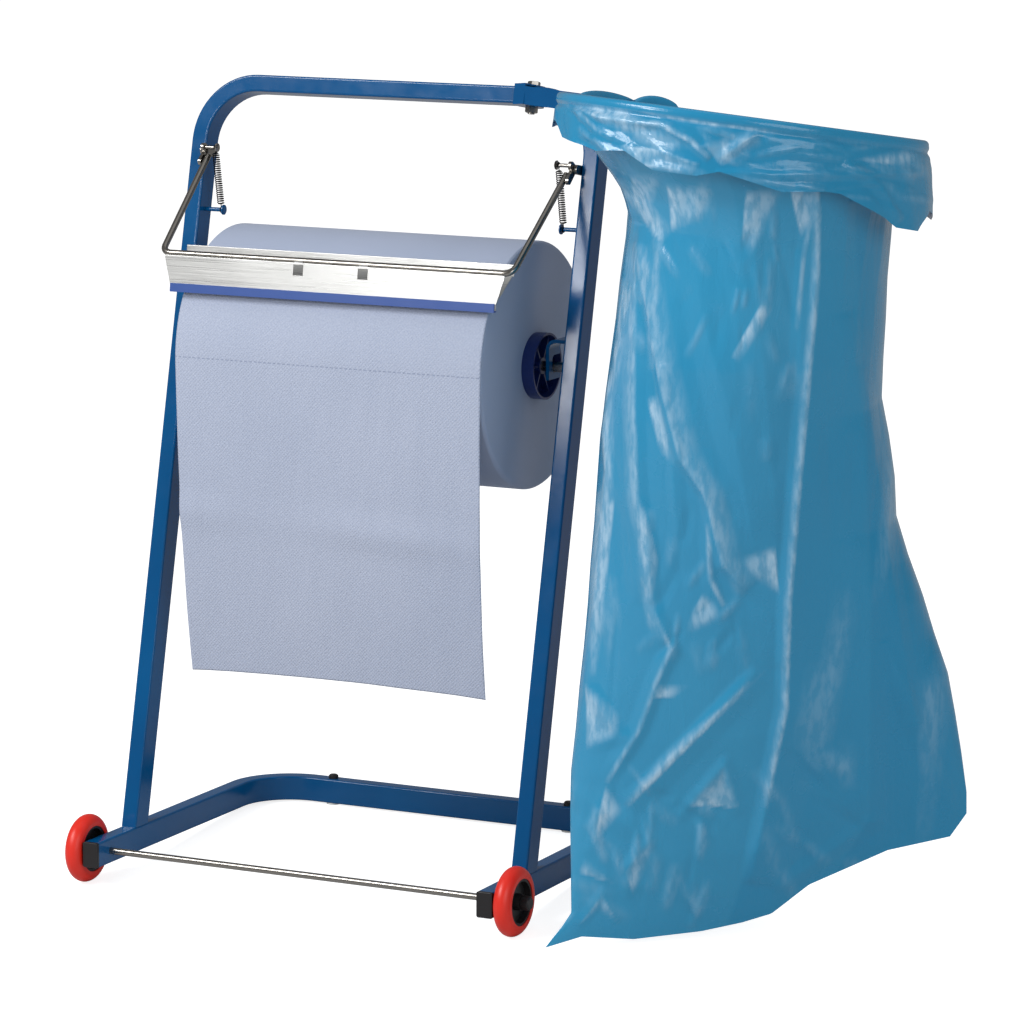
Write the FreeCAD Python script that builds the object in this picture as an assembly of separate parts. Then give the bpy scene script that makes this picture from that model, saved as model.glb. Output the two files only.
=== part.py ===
import FreeCAD, Part
import math
import os

V = FreeCAD.Vector
X_AXIS = V(1, 0, 0)
Y_AXIS = V(0, 1, 0)
Z_AXIS = V(0, 0, 1)

# Driving dimensions in millimetres
# The stand is modelled with its base level: x = 0 is its centre plane, y = 0 the wheel axle and
# z = 0 the lowest point of the wheels. It faces -Y. Then it is leaned back onto its rear feet, and
# the bag is hung straight down from it. The last step moves everything to the middle of the overall box.

# Rectangular steel tube of the stand
tube_thin = 20.0
tube_deep = 30.0
tube_wall = 1.5
tube_corner = 2.5
bend_radius = 70.0
stand_width = 511.7
base_clearance = 25.0
front_overhang = 27.0
base_depth = 393.7
upright_foot_y = 72.4
lean_deg = 12.71
stand_height = 928.6

# Wheels, axle and rear feet
wheel_diameter = 80.0
tyre_width = 21.0
tread_round = 8.5
hub_diameter = 54.0
hub_web = 5.0
hub_rim_wall = 3.0
hub_boss_diameter = 18.0
axle_diameter = 8.0
axle_washer_thickness = 1.5
axle_washer_diameter = 17.0
axle_cap_length = 10.0
axle_cap_diameter = 17.0
axle_cap_wall = 2.5
foot_spacing = 321.0
foot_diameter = 17.0
foot_clearance = 1.2
foot_stud_diameter = 8.0
foot_stud_tip = 3.0
foot_cap_diameter = 12.0
foot_cap_height = 5.0
end_plug_face = 4.0
end_plug_insert = 16.0

# Paper roll, its core and what carries it
roll_diameter = 287.0
roll_width = 394.0
roll_edge_round = 5.0
roll_shaft_z = 614.7
roll_shaft_behind = 20.4
core_outer_diameter = 75.0
core_wall = 2.5
core_recess = 1.5
plug_rim_diameter = 77.0
plug_rim_length = 15.0
plug_wall = 2.5
plug_insert = 28.0
plug_boss_diameter = 19.0
plug_rib = 2.2
plug_rib_count = 6
shaft_diameter = 12.0
shaft_end_gap = 4.0
hook_thickness = 4.0
hook_width = 30.0
hook_bend = 12.0
hook_top_above_shaft = 33.5
hook_below_shaft = 14.0
hook_gap_to_plug = 5.0

# Paper that hangs from the roll
sheet_thickness = 0.8
sheet_width = 394.0
sheet_start_deg = 134.0
sheet_bottom_z = 243.0
sheet_sweep_back = 30.0

# Sprung tear bar
pivot_z = 841.8
pivot_forward = 23.0
lug_thickness = 4.0
lug_height = 11.0
lug_foot_below = 4.0
pivot_pin_diameter = 5.0
crank_thickness = 3.6
crank_offset = 8.5
crank_half_swing_deg = 50.0
spring_pin_diameter = 4.5
spring_pin_head_diameter = 11.0
pin_head_thickness = 2.5
spring_pin_tip_gap = 26.3
stud_z = 771.7
stud_diameter = 5.0
stud_head_diameter = 12.0
arm_diameter = 7.6
arm_spacing = 452.0
arm_bend = 12.0
arm_end_short = 8.5
bar_y = 96.2
bar_z = 735.0
spring_diameter = 8.8
spring_wire = 1.2
spring_turns = 17
spring_inset = 21.6
spring_neck = 3.0
spring_neck_bend = 2.0
spring_loop_deg = 290.0

# Folded tear plate and its plastic edge
plate_thickness = 1.2
plate_top_width = 437.2
plate_bottom_width = 420.0
plate_top_z = 732.7
plate_fold_z = 702.0
plate_edge_z = 693.5
plate_slope_deg = 8.0
plate_rear_y = 129.6
plate_rear_rise = 12.5
plate_rear_width = 424.0
clip_width = 13.0
clip_height = 12.5
clip_positions = (-43.2, 40.1)
edge_strip_width = 418.0
edge_strip_wall = 1.8
edge_strip_height = 9.9

# Bag holder
bolt_x = 168.3
bolt_diameter = 8.0
bolt_head_across = 13.0
bolt_head_height = 5.3
nut_height = 6.5
bracket_sheet = 2.0
bracket_web_front = 24.0
bracket_web_start = 5.5
bracket_eye_radius = 14.0
bracket_flange = 8.0
bracket_height = 20.8
bracket_nose = 5.0
arm_yaw_deg = 25.5
arm_past_hoop = 9.0
hoop_diameter = 396.0
hoop_rod = 9.0
hoop_reach = 390.0
hoop_above_tube_middle = 4.5
hoop_slope_x = 0.081
hoop_slope_y = 0.1296

# Bag, hung from the hoop's middle, its left and right halves measured apart
bag_wall = 1.6
bag_rod_gap = 0.5
bag_cuff_drop_left = 46.0
bag_cuff_drop_knee = 61.0
bag_cuff_drop_right = 95.0
bag_cuff_knee = 90.0
bag_cuff_flare = 9.0
bag_inner_skirt = 14.0
bag_overlap = 4.0
bag_yaw_deg = 26.0
bag_bottom_turn_deg = 8.5
bag_floor_gap = 2.0
bag_waist_below = 118.0
bag_waist_left = 143.0
bag_waist_right = 138.0
bag_bottom_left = 238.0
bag_bottom_right = 240.0
bag_spread_left = 1.0
bag_spread_right = 2.2
bag_bottom_rise = 126.0
bag_bottom_curve = 2.0
bag_bottom_front = 36.0
bag_bottom_half_depth = 8.0
bag_waist_half_depth = 156.0
bag_taper = 1.7
bag_fold_count = 9
bag_fold_depth = 0.06
bag_fold_drift = 2.0
bag_section_points = 72
bag_section_shares = (0, 0.045, 0.09, 0.14, 0.26, 0.4, 0.55, 0.7, 0.85, 1.0)
bag_seam_height = 22.0
bag_arm_gap = 2.0

# Clearances
slip = 0.1
running = 0.06
paper_gap = 0.35
rub_gap = 0.3

# Values that follow
lean = math.radians(lean_deg)
half_width = stand_width / 2
inner_face = half_width - tube_thin / 2
outer_face = half_width + tube_thin / 2
base_mid_z = base_clearance + tube_deep / 2
base_top_z = base_clearance + tube_deep
wheel_radius = wheel_diameter / 2
axle_z = wheel_radius
frame_run = (stand_height - base_top_z) / math.cos(lean)


def resting_lean():
    """How far the level stand turns back to rest on its wheels and on the feet under the back tube."""
    corner_y = base_depth + tube_thin / 2 - tube_corner
    below_axle = axle_z - base_clearance - tube_corner
    drop = wheel_radius - tube_corner - foot_clearance
    return math.asin(drop / math.hypot(corner_y, below_axle)) - math.atan2(below_axle, corner_y)


rest_lean = resting_lean()
rest_turn = FreeCAD.Rotation(X_AXIS, -math.degrees(rest_lean))


def frame_y(z):
    """Middle of the leaning frame at height z."""
    return upright_foot_y + (z - base_top_z) * math.tan(lean)


roll_radius = roll_diameter / 2
shaft_y = frame_y(roll_shaft_z) + roll_shaft_behind
pivot_y = frame_y(pivot_z) - pivot_forward
stud_y = frame_y(stud_z)
half_roll = roll_width / 2
plug_rim_x = half_roll + plug_rim_length
hook_inner_x = plug_rim_x + hook_gap_to_plug


def cylinder(radius, start, end):
    """Round bar from one point to another."""
    along = end - start
    return Part.makeCylinder(radius, along.Length, start, along)


def turned(profile, origin, side):
    """Solid turned about a line along X from (x, r) points. side mirrors it to the other end."""
    points = [V(origin.x + side * x, origin.y, origin.z + r) for x, r in profile]
    face = Part.Face(Part.makePolygon(points + [points[0]]))
    return face.revolve(origin, X_AXIS, 360)


def rounded_path(points, radii):
    """Wire of straight runs through the points, each inner corner rounded by its own radius."""
    edges = []
    last = points[0]
    for before, corner, after, radius in zip(points, points[1:], points[2:], radii):
        back = (before - corner).normalize()
        ahead = (after - corner).normalize()
        half_turn = (math.pi - back.getAngle(ahead)) / 2
        cut = radius * math.tan(half_turn)
        middle = (back + ahead).normalize()
        to_centre = radius / math.cos(half_turn)
        start = corner + back * cut
        end = corner + ahead * cut
        crown = corner + middle * (to_centre - radius)
        edges.append(Part.makeLine(last, start))
        edges.append(Part.Arc(start, crown, end).toShape())
        last = end
    edges.append(Part.makeLine(last, points[-1]))
    return Part.Wire(edges)


def round_section(radius, at, along):
    return Part.Wire([Part.makeCircle(radius, at, along)])


def wire_section(radius, at, first, second):
    """Eight-sided section of a thin wire."""
    points = []
    for number in range(8):
        angle = math.pi * number / 4
        points.append(at + first * (radius * math.cos(angle)) + second * (radius * math.sin(angle)))
    return Part.makePolygon(points + [points[0]])


def rounded_rectangle(width, height, radius, at, across, up):
    """Closed section with rounded corners, width along across and height along up."""
    w = width / 2
    h = height / 2
    d = radius * (1 - math.sqrt(0.5))

    def place(a, b):
        return at + across * a + up * b

    edges = []
    turns = ((1, 1), (-1, 1), (-1, -1), (1, -1))
    corners = []
    for sx, sy in turns:
        side_end = place(sx * w, sy * (h - radius))
        crown = place(sx * (w - d), sy * (h - d))
        top_end = place(sx * (w - radius), sy * h)
        if sx * sy > 0:
            corners.append((side_end, crown, top_end))
        else:
            corners.append((top_end, crown, side_end))
    for here, following in zip(corners, corners[1:] + corners[:1]):
        edges.append(Part.Arc(*here).toShape())
        edges.append(Part.makeLine(here[2], following[0]))
    return Part.Wire(edges)


def bent_tube(path, at, across, up, width, height):
    """Hollow rectangular tube swept along a path."""
    outer_section = rounded_rectangle(width, height, tube_corner, at, across, up)
    inner_corner = max(tube_corner - tube_wall, 0.4)
    bore_width = width - 2 * tube_wall
    bore_height = height - 2 * tube_wall
    inner_section = rounded_rectangle(bore_width, bore_height, inner_corner, at, across, up)
    outer = path.makePipeShell([outer_section], True, False)
    inner = path.makePipeShell([inner_section], True, False)
    return outer.cut(inner)


def capsule(start, end, radius, thickness, low_x):
    """Flat link in a YZ plane with round ends, from low_x to low_x + thickness."""
    along = (end - start).normalize()
    side = X_AXIS.cross(along) * radius
    a = V(low_x, start.y, start.z)
    b = V(low_x, end.y, end.z)
    edges = [
        Part.makeLine(a + side, b + side),
        Part.Arc(b + side, b + along * radius, b - side).toShape(),
        Part.makeLine(b - side, a - side),
        Part.Arc(a - side, a - along * radius, a + side).toShape(),
    ]
    return Part.Face(Part.Wire(edges)).extrude(V(thickness, 0, 0))


def on_side(side, near, far):
    """Lower end of a span that lies near to far from the centre plane on one side."""
    return near if side > 0 else -far


# Stand
def base_frame():
    """U-shaped base tube, open to the front, drilled for the axle and the studs of the feet."""
    front = -front_overhang
    corners = [
        V(-half_width, front, base_mid_z),
        V(-half_width, base_depth, base_mid_z),
        V(half_width, base_depth, base_mid_z),
        V(half_width, front, base_mid_z),
    ]
    path = rounded_path(corners, [bend_radius, bend_radius])
    tube = bent_tube(path, corners[0], X_AXIS, Z_AXIS, tube_thin, tube_deep)
    axle_hole = Part.makeCylinder(
        axle_diameter / 2 + slip, stand_width + 2 * tube_thin,
        V(-half_width - tube_thin, 0, axle_z), X_AXIS)
    holes = [axle_hole]
    for side in (-1, 1):
        holes.append(cylinder(foot_stud_diameter / 2 + slip,
                              V(side * foot_spacing / 2, base_depth, 0),
                              V(side * foot_spacing / 2, base_depth, stand_height)))
    return tube.cut(holes)


def upright_frame():
    """Inverted U of the same tube, leaning back and cut to sit on the base."""
    below = tube_deep
    top = frame_run - tube_thin / 2
    foot = V(0, upright_foot_y, base_top_z)
    corners = [
        foot + V(-half_width, 0, -below),
        foot + V(-half_width, 0, top),
        foot + V(half_width, 0, top),
        foot + V(half_width, 0, -below),
    ]
    path = rounded_path(corners, [bend_radius, bend_radius])
    tube = bent_tube(path, corners[0], X_AXIS, Y_AXIS, tube_thin, tube_deep)
    tube.rotate(foot, X_AXIS, -lean_deg)
    cutter = Part.makeBox(stand_width * 2, stand_width, stand_width,
                          V(-stand_width, upright_foot_y - stand_width / 2,
                            base_top_z - stand_width))
    tube = tube.cut(cutter)
    return tube.cut(cylinder(bolt_diameter / 2 + slip, holder_point(0, 0, -tube_deep),
                             holder_point(0, 0, tube_deep)))


def axle_rod():
    """Steel rod that joins both base sides and carries the wheels."""
    reach = axle_cap_start() + axle_cap_length - axle_cap_wall - slip
    return cylinder(axle_diameter / 2, V(-reach, 0, axle_z), V(reach, 0, axle_z))


def end_plug(side):
    """Moulded plug in the front end of a base tube."""
    at = V(side * half_width, -front_overhang, base_mid_z)
    face = rounded_rectangle(tube_thin, tube_deep, tube_corner, at, X_AXIS, Z_AXIS)
    plate = Part.Face(face).extrude(V(0, -end_plug_face, 0))
    front_edges = [e for e in plate.Edges if e.BoundBox.YMax < at.y - end_plug_face / 2]
    plate = plate.makeFillet(1.0, front_edges)
    inset = tube_wall + slip
    body = rounded_rectangle(tube_thin - 2 * inset, tube_deep - 2 * inset, 0.8, at, X_AXIS, Z_AXIS)
    insert = Part.Face(body).extrude(V(0, end_plug_insert, 0))
    return plate.fuse(insert)


def below_floor():
    """Everything under the floor that the leaning stand rests on, seen from the level stand."""
    lift = wheel_radius * (1 - math.cos(rest_lean))
    reach = 2 * base_depth
    block = Part.makeBox(2 * stand_width, reach, base_clearance, V(-stand_width, 0, -base_clearance - lift))
    block.rotate(V(0, 0, 0), X_AXIS, math.degrees(rest_lean))
    return block


def rear_foot(side):
    """Low pad under the back tube, flat on the floor, with a stud up through the tube."""
    seat = V(side * foot_spacing / 2, base_depth, base_clearance)
    pad = cylinder(foot_diameter / 2, seat - V(0, 0, base_clearance), seat).cut(below_floor())
    stud = cylinder(foot_stud_diameter / 2, seat, seat + V(0, 0, tube_deep + foot_stud_tip))
    return pad.fuse(stud)


def foot_cap(side):
    """Round cap pushed onto the stud on top of the back tube."""
    seat = V(side * foot_spacing / 2, base_depth, base_top_z)
    cap = Part.makeCylinder(foot_cap_diameter / 2, foot_cap_height, seat)
    rim = [e for e in cap.Edges if e.BoundBox.ZMin > seat.z + foot_cap_height / 2]
    cap = cap.makeChamfer(foot_cap_height / 3, rim)
    return cap.cut(cylinder(foot_stud_diameter / 2 + slip, seat, seat + V(0, 0, foot_stud_tip + slip)))


# Wheels
def wheel_start():
    return outer_face + axle_washer_thickness + rub_gap


def axle_cap_start():
    return wheel_start() + tyre_width + 2 * rub_gap


def tyre(side):
    """Rounded tread ring."""
    low = wheel_start()
    high = low + tyre_width
    outer = wheel_radius
    inner = hub_diameter / 2
    shoulder = outer - tread_round
    mid = (low + high) / 2
    axle = V(0, 0, axle_z)

    def at(x, r):
        return V(side * x, 0, axle_z + r)

    crown = Part.Arc(at(low, shoulder), at(mid, outer), at(high, shoulder)).toShape()
    edges = [
        Part.makeLine(at(low, inner), at(low, shoulder)),
        crown,
        Part.makeLine(at(high, shoulder), at(high, inner)),
        Part.makeLine(at(high, inner), at(low, inner)),
    ]
    return Part.Face(Part.Wire(edges)).revolve(axle, X_AXIS, 360)


def hub(side):
    """Moulded wheel centre: rim, web recessed on both faces and a bored boss."""
    low = wheel_start()
    high = low + tyre_width
    mid = (low + high) / 2
    rim = hub_diameter / 2 - slip
    rim_inner = rim - hub_rim_wall
    boss = hub_boss_diameter / 2
    bore = axle_diameter / 2 + running
    web_low = mid - hub_web / 2
    web_high = mid + hub_web / 2
    profile = [
        (low, bore), (high, bore), (high, boss), (web_high, boss + 1.0), (web_high, rim_inner - 1.0),
        (high - 1.0, rim_inner), (high - 1.0, rim), (low + 1.0, rim), (low + 1.0, rim_inner),
        (web_low, rim_inner - 1.0), (web_low, boss + 1.0), (low, boss),
    ]
    return turned(profile, V(0, 0, axle_z), side)


def axle_washer(side):
    """Flat washer between the base tube and the wheel."""
    low = outer_face
    high = outer_face + axle_washer_thickness
    inner = axle_diameter / 2 + slip
    outer = axle_washer_diameter / 2
    profile = [(low, inner), (high, inner), (high, outer), (low, outer)]
    return turned(profile, V(0, 0, axle_z), side)


def axle_cap(side):
    """Push-on cap that keeps the wheel on the axle."""
    low = axle_cap_start()
    high = low + axle_cap_length
    inner = axle_diameter / 2 + 0.02
    outer = axle_cap_diameter / 2
    profile = [(low, inner), (high - axle_cap_wall, inner), (high - axle_cap_wall, 0), (high, 0),
               (high, outer - 2.0), (high - 1.5, outer - 0.4), (low, outer)]
    return turned(profile, V(0, 0, axle_z), side)


# Paper roll
def paper_roll():
    """The wound paper with softly rounded edges."""
    middle = V(0, shaft_y, roll_shaft_z)
    outer = cylinder(roll_radius, middle - X_AXIS * half_roll, middle + X_AXIS * half_roll)
    outer = outer.makeFillet(roll_edge_round, [e for e in outer.Edges if len(e.Vertexes) == 1])
    bore = cylinder(core_outer_diameter / 2 + slip, middle - X_AXIS * roll_width,
                    middle + X_AXIS * roll_width)
    return outer.cut(bore)


def roll_core():
    """Board tube that the paper is wound on, just short of the roll's faces."""
    half = half_roll - core_recess
    outer = core_outer_diameter / 2
    profile = [(-half, outer - core_wall), (half, outer - core_wall), (half, outer), (-half, outer)]
    return turned(profile, V(0, shaft_y, roll_shaft_z), 1)


def core_plug(side):
    """Moulded cup pushed into the core, with ribs from its rim to the boss on the shaft."""
    origin = V(0, shaft_y, roll_shaft_z)
    rim = plug_rim_diameter / 2
    seat = core_outer_diameter / 2 - core_wall - slip
    nose = seat - 1.0
    face = half_roll + slip
    back = half_roll - plug_insert
    web = half_roll - plug_wall
    boss = plug_boss_diameter / 2
    bore = shaft_diameter / 2 + running
    boss_end = plug_rim_x - 6.0
    profile = [
        (back, nose - plug_wall), (web, seat - plug_wall), (web, boss), (back + 6.0, boss - 1.0),
        (back + 6.0, bore), (boss_end, bore), (boss_end, boss), (web + plug_wall, boss),
        (web + plug_wall, rim - plug_wall - 1.5), (plug_rim_x, rim - plug_wall), (plug_rim_x, rim),
        (face, rim), (face, seat), (back, nose),
    ]
    cup = turned(profile, origin, side)
    rib_low = on_side(side, web + plug_wall, boss_end - 1.0)
    rib_long = boss_end - 1.0 - web - plug_wall
    rib_high = rim - plug_wall - boss + 1.0
    ribs = []
    for number in range(plug_rib_count):
        corner = V(rib_low, shaft_y - plug_rib / 2, roll_shaft_z + boss - 0.5)
        rib = Part.makeBox(rib_long, plug_rib, rib_high, corner)
        rib.rotate(origin, X_AXIS, 30 + number * 360 / plug_rib_count)
        ribs.append(rib)
    return cup.fuse(ribs).removeSplitter()


def roll_shaft():
    """Round steel bar through the roll, with its ends chamfered."""
    half = inner_face - shaft_end_gap
    radius = shaft_diameter / 2
    profile = [(-half, 0), (half, 0), (half, radius - 1), (half - 1, radius),
               (1 - half, radius), (-half, radius - 1)]
    return turned(profile, V(0, shaft_y, roll_shaft_z), 1)


def roll_hook(side):
    """Bent strip on the upright, slotted from the back so the shaft drops into its seat."""
    top = roll_shaft_z + hook_top_above_shaft
    low = roll_shaft_z - hook_below_shaft
    y = shaft_y - hook_width / 2

    def path_at(inset):
        """The strip's outline at a depth of inset below its outer skin."""
        x = hook_inner_x + inset
        z = top - inset
        radius = hook_bend - inset
        d = radius * (1 - math.sqrt(0.5))
        return [V(side * inner_face, y, z), V(side * (x + radius), y, z),
                V(side * (x + d), y, z - d), V(side * x, y, z - radius), V(side * x, y, low)]

    a = path_at(0)
    b = path_at(hook_thickness)
    edges = [
        Part.makeLine(a[0], a[1]), Part.Arc(a[1], a[2], a[3]).toShape(), Part.makeLine(a[3], a[4]),
        Part.makeLine(a[4], b[4]),
        Part.makeLine(b[4], b[3]), Part.Arc(b[3], b[2], b[1]).toShape(), Part.makeLine(b[1], b[0]),
        Part.makeLine(b[0], a[0]),
    ]
    strip = Part.Face(Part.Wire(edges)).extrude(V(0, hook_width, 0))
    strip = strip.cut(leaning_tube_space())
    seat = shaft_diameter / 2 + rub_gap
    start = on_side(side, hook_inner_x - 1, hook_inner_x + hook_thickness + 1)
    across = hook_thickness + 2
    drop = seat * 1.2
    slot = [
        Part.makeCylinder(seat, across, V(start, shaft_y, roll_shaft_z), X_AXIS),
        Part.makeBox(across, 2 * seat, drop, V(start, shaft_y - seat, roll_shaft_z)),
        Part.makeCylinder(seat, across, V(start, shaft_y, roll_shaft_z + drop), X_AXIS),
        Part.makeBox(across, hook_width, 2 * seat, V(start, shaft_y, roll_shaft_z + drop - seat)),
    ]
    return strip.cut(slot)


def leaning_tube_space():
    """The two uprights as plain bars, for trimming what is welded to their inner faces."""
    bars = []
    for side in (-1, 1):
        bar = Part.makeBox(tube_thin, tube_deep, frame_run,
                           V(on_side(side, inner_face, outer_face),
                             upright_foot_y - tube_deep / 2, base_top_z))
        bar.rotate(V(0, upright_foot_y, base_top_z), X_AXIS, -lean_deg)
        bars.append(bar)
    return bars


def hanging_sheet():
    """Paper that leaves the roll at the tear bar, follows its front and hangs down."""
    inner = roll_radius + paper_gap
    outer = inner + sheet_thickness
    start = math.radians(sheet_start_deg)
    middle = (start + math.pi) / 2
    x = -sheet_width / 2
    drop = roll_shaft_z - sheet_bottom_z
    swing = (drop ** 2 + sheet_sweep_back ** 2) / (2 * sheet_sweep_back)
    turn = math.asin(drop / swing)

    def on_roll(radius, angle):
        return V(x, shaft_y + radius * math.cos(angle), roll_shaft_z + radius * math.sin(angle))

    def hanging(radius, angle):
        """Point on the long gentle curve, whose own radius grows outwards to the front."""
        reach = swing + radius - inner
        centre_y = shaft_y - inner + swing
        return V(x, centre_y - reach * math.cos(angle), roll_shaft_z - reach * math.sin(angle))

    edges = [
        Part.Arc(on_roll(inner, start), on_roll(inner, middle), on_roll(inner, math.pi)).toShape(),
        Part.Arc(hanging(inner, 0), hanging(inner, turn / 2), hanging(inner, turn)).toShape(),
        Part.makeLine(hanging(inner, turn), hanging(outer, turn)),
        Part.Arc(hanging(outer, turn), hanging(outer, turn / 2), hanging(outer, 0)).toShape(),
        Part.Arc(on_roll(outer, math.pi), on_roll(outer, middle), on_roll(outer, start)).toShape(),
        Part.makeLine(on_roll(outer, start), on_roll(inner, start)),
    ]
    return Part.Face(Part.Wire(edges)).extrude(V(sheet_width, 0, 0))


# Tear bar
def pivot_point(x=0.0):
    return V(x, pivot_y, pivot_z)


def stud_point(x=0.0):
    return V(x, stud_y, stud_z)


def spring_pin_point(x=0.0):
    """Half the swing ahead of the line from stud to pivot, so the spring tips over centre."""
    up = (pivot_point() - stud_point()).normalize()
    turn = math.radians(crank_half_swing_deg)
    forward = up.cross(X_AXIS) * -1
    way = up * math.cos(turn) + forward * math.sin(turn)
    return pivot_point(x) + way * crank_offset


def crank_inner_x():
    return inner_face - lug_thickness - rub_gap - crank_thickness


def arm_top_x():
    return crank_inner_x() - arm_diameter / 2


def bar_point(x=0.0):
    return V(x, bar_y, bar_z)


def arm_way():
    """Unit vector from the crossbar up an arm to the pivot, in the YZ plane."""
    return (pivot_point() - bar_point()).normalize()


def pivot_lug(side):
    """Flat lug on the upright's inner face, reaching forward to the pivot."""
    root = V(0, frame_y(pivot_z - lug_foot_below), pivot_z - lug_foot_below)
    low = on_side(side, inner_face - lug_thickness, inner_face)
    lug = capsule(root, pivot_point(), lug_height / 2, lug_thickness, low)
    hole = Part.makeCylinder(pivot_pin_diameter / 2 + 0.02, lug_thickness * 3,
                             pivot_point(low - lug_thickness), X_AXIS)
    return lug.cut(hole)


def pivot_pin(side):
    """Headed pin held in the lug, on which the crank turns."""
    radius = pivot_pin_diameter / 2
    head = radius + 1.4
    out = inner_face
    shoulder = crank_inner_x() - rub_gap
    tip = shoulder - 1.6
    profile = [(tip, 0), (out, 0), (out, radius), (shoulder, radius), (shoulder, head),
               (tip + 0.5, head), (tip, head - 0.8)]
    return turned(profile, pivot_point(), side)


def spring_stud(side):
    """Headed stud on the upright's inner face that holds the spring's lower hook."""
    radius = stud_diameter / 2
    head = stud_head_diameter / 2
    tip = inner_face - spring_pin_tip_gap
    profile = [(tip, 0), (inner_face, 0), (inner_face, radius), (tip + pin_head_thickness, radius),
               (tip + pin_head_thickness, head), (tip + 1.0, head), (tip, head - 2.0)]
    return turned(profile, stud_point(), side)


def crank(side):
    """Bell crank: it turns on the pivot pin, carries the spring pin and is welded to an arm."""
    low = on_side(side, crank_inner_x(), crank_inner_x() + crank_thickness)
    weld_end = pivot_point() - arm_way() * (arm_end_short + 10)
    link = capsule(pivot_point(), spring_pin_point(), 5.0, crank_thickness, low)
    tail = capsule(pivot_point(), weld_end, 4.6, crank_thickness, low)
    body = link.fuse(tail).removeSplitter()
    pivot_hole = Part.makeCylinder(pivot_pin_diameter / 2 + running, crank_thickness + 2,
                                   pivot_point(low - 1), X_AXIS)
    pin_hole = Part.makeCylinder(spring_pin_diameter / 2 + 0.03, crank_thickness + 2,
                                 spring_pin_point(low - 1), X_AXIS)
    return body.cut([pivot_hole, pin_hole])


def spring_pin(side):
    """Round-headed pin on the crank that the spring's upper hook hangs on."""
    radius = spring_pin_diameter / 2
    head = spring_pin_head_diameter / 2
    tip = inner_face - spring_pin_tip_gap
    out = crank_inner_x() + crank_thickness
    under_head = tip + pin_head_thickness
    profile = [(tip, 0), (out, 0), (out, radius), (under_head, radius),
               (under_head, head), (tip + 1.2, head - 0.4), (tip, head - 2.6)]
    return turned(profile, spring_pin_point(), side)


def tear_bar_rod():
    """One steel rod bent to a U: the crossbar and both arms."""
    arm_end = pivot_point() - arm_way() * arm_end_short
    top_x = arm_top_x()
    points = [V(-top_x, arm_end.y, arm_end.z), bar_point(-arm_spacing / 2),
              bar_point(arm_spacing / 2), V(top_x, arm_end.y, arm_end.z)]
    path = rounded_path(points, [arm_bend, arm_bend])
    start_way = points[1] - points[0]
    section = round_section(arm_diameter / 2, points[0], start_way)
    return path.makePipeShell([section], True, False)


def bent_sheet(points, thickness, low_x, high_x):
    """Folded sheet: legs between (y, z) points with round bends, between two x values."""
    width = high_x - low_x
    body = None
    half = thickness / 2
    for (y0, z0), (y1, z1) in zip(points, points[1:]):
        leg = capsule(V(0, y0, z0), V(0, y1, z1), half, width, low_x)
        body = leg if body is None else body.fuse(leg)
    return body


def plate_front_y(z):
    """Middle of the front wall's sheet at height z: it leans forward towards its lower edge."""
    top = bar_y - arm_diameter / 2 - slip - plate_thickness / 2
    return top - (bar_z - z) * math.tan(math.radians(plate_slope_deg))


def plate_rear_low():
    """Rear fold of the plate, where it bears on the paper."""
    reach = roll_radius + rub_gap + plate_thickness / 2
    over = shaft_y - plate_rear_y
    return plate_rear_y, roll_shaft_z + math.sqrt(reach ** 2 - over ** 2)


def tear_plate():
    """Folded channel: front wall with a hemmed lower edge, floor to the roll and rear wall."""
    t = plate_thickness
    half_top = plate_top_width / 2
    half_low = plate_bottom_width / 2
    top = (plate_front_y(plate_top_z), plate_top_z)
    edge = (plate_front_y(plate_edge_z + t / 2), plate_edge_z + t / 2)
    hem_y = t * 1.05
    hem_low = (edge[0] + hem_y, edge[1])
    hem_top = (plate_front_y(plate_fold_z) + hem_y, plate_fold_z)
    rear_low = plate_rear_low()
    rear_top = (rear_low[0] + 1.5, rear_low[1] + plate_rear_rise)
    wall = bent_sheet([top, edge], t, -half_top, half_top)
    wall = wall.common(front_outline(half_top, half_low))
    inner = bent_sheet([edge, hem_low, hem_top, rear_low], t, -half_low, half_low)
    rear_half = plate_rear_width / 2
    rear = bent_sheet([rear_low, rear_top], t, -rear_half, rear_half)
    body = wall.fuse([inner, rear])
    for x in clip_positions:
        window = Part.makeBox(clip_width, 8 * t, clip_height,
                              V(x - clip_width / 2, top[0] - 4 * t, bar_z - arm_diameter / 2 - clip_height))
        body = body.cut(window).fuse(rod_clip(x))
    return body.removeSplitter()


def front_outline(half_top, half_low):
    """Trapezium that tapers the front wall towards its lower corners."""
    y = bar_y - 60
    high = plate_top_z + 5
    low = plate_edge_z - 5
    corners = [V(-half_top, y, high), V(half_top, y, high), V(half_top, y, plate_top_z - 3),
               V(half_low, y, plate_edge_z + 6), V(half_low, y, low), V(-half_low, y, low),
               V(-half_low, y, plate_edge_z + 6), V(-half_top, y, plate_top_z - 3)]
    return Part.Face(Part.makePolygon(corners + [corners[0]])).extrude(V(0, 120, 0))


def rod_clip(x):
    """Tab pressed out of the front wall and curled under and behind the crossbar."""
    inner = arm_diameter / 2 + slip
    outer = inner + plate_thickness
    low = x - clip_width / 2 + 1
    width = clip_width - 2
    start = math.radians(176)
    end = math.radians(395)
    middle = (start + end) / 2

    def at(radius, angle):
        return V(low, bar_y + radius * math.cos(angle), bar_z + radius * math.sin(angle))

    edges = [
        Part.Arc(at(inner, start), at(inner, middle), at(inner, end)).toShape(),
        Part.makeLine(at(inner, end), at(outer, end)),
        Part.Arc(at(outer, end), at(outer, middle), at(outer, start)).toShape(),
        Part.makeLine(at(outer, start), at(inner, start)),
    ]
    return Part.Face(Part.Wire(edges)).extrude(V(width, 0, 0))


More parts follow.
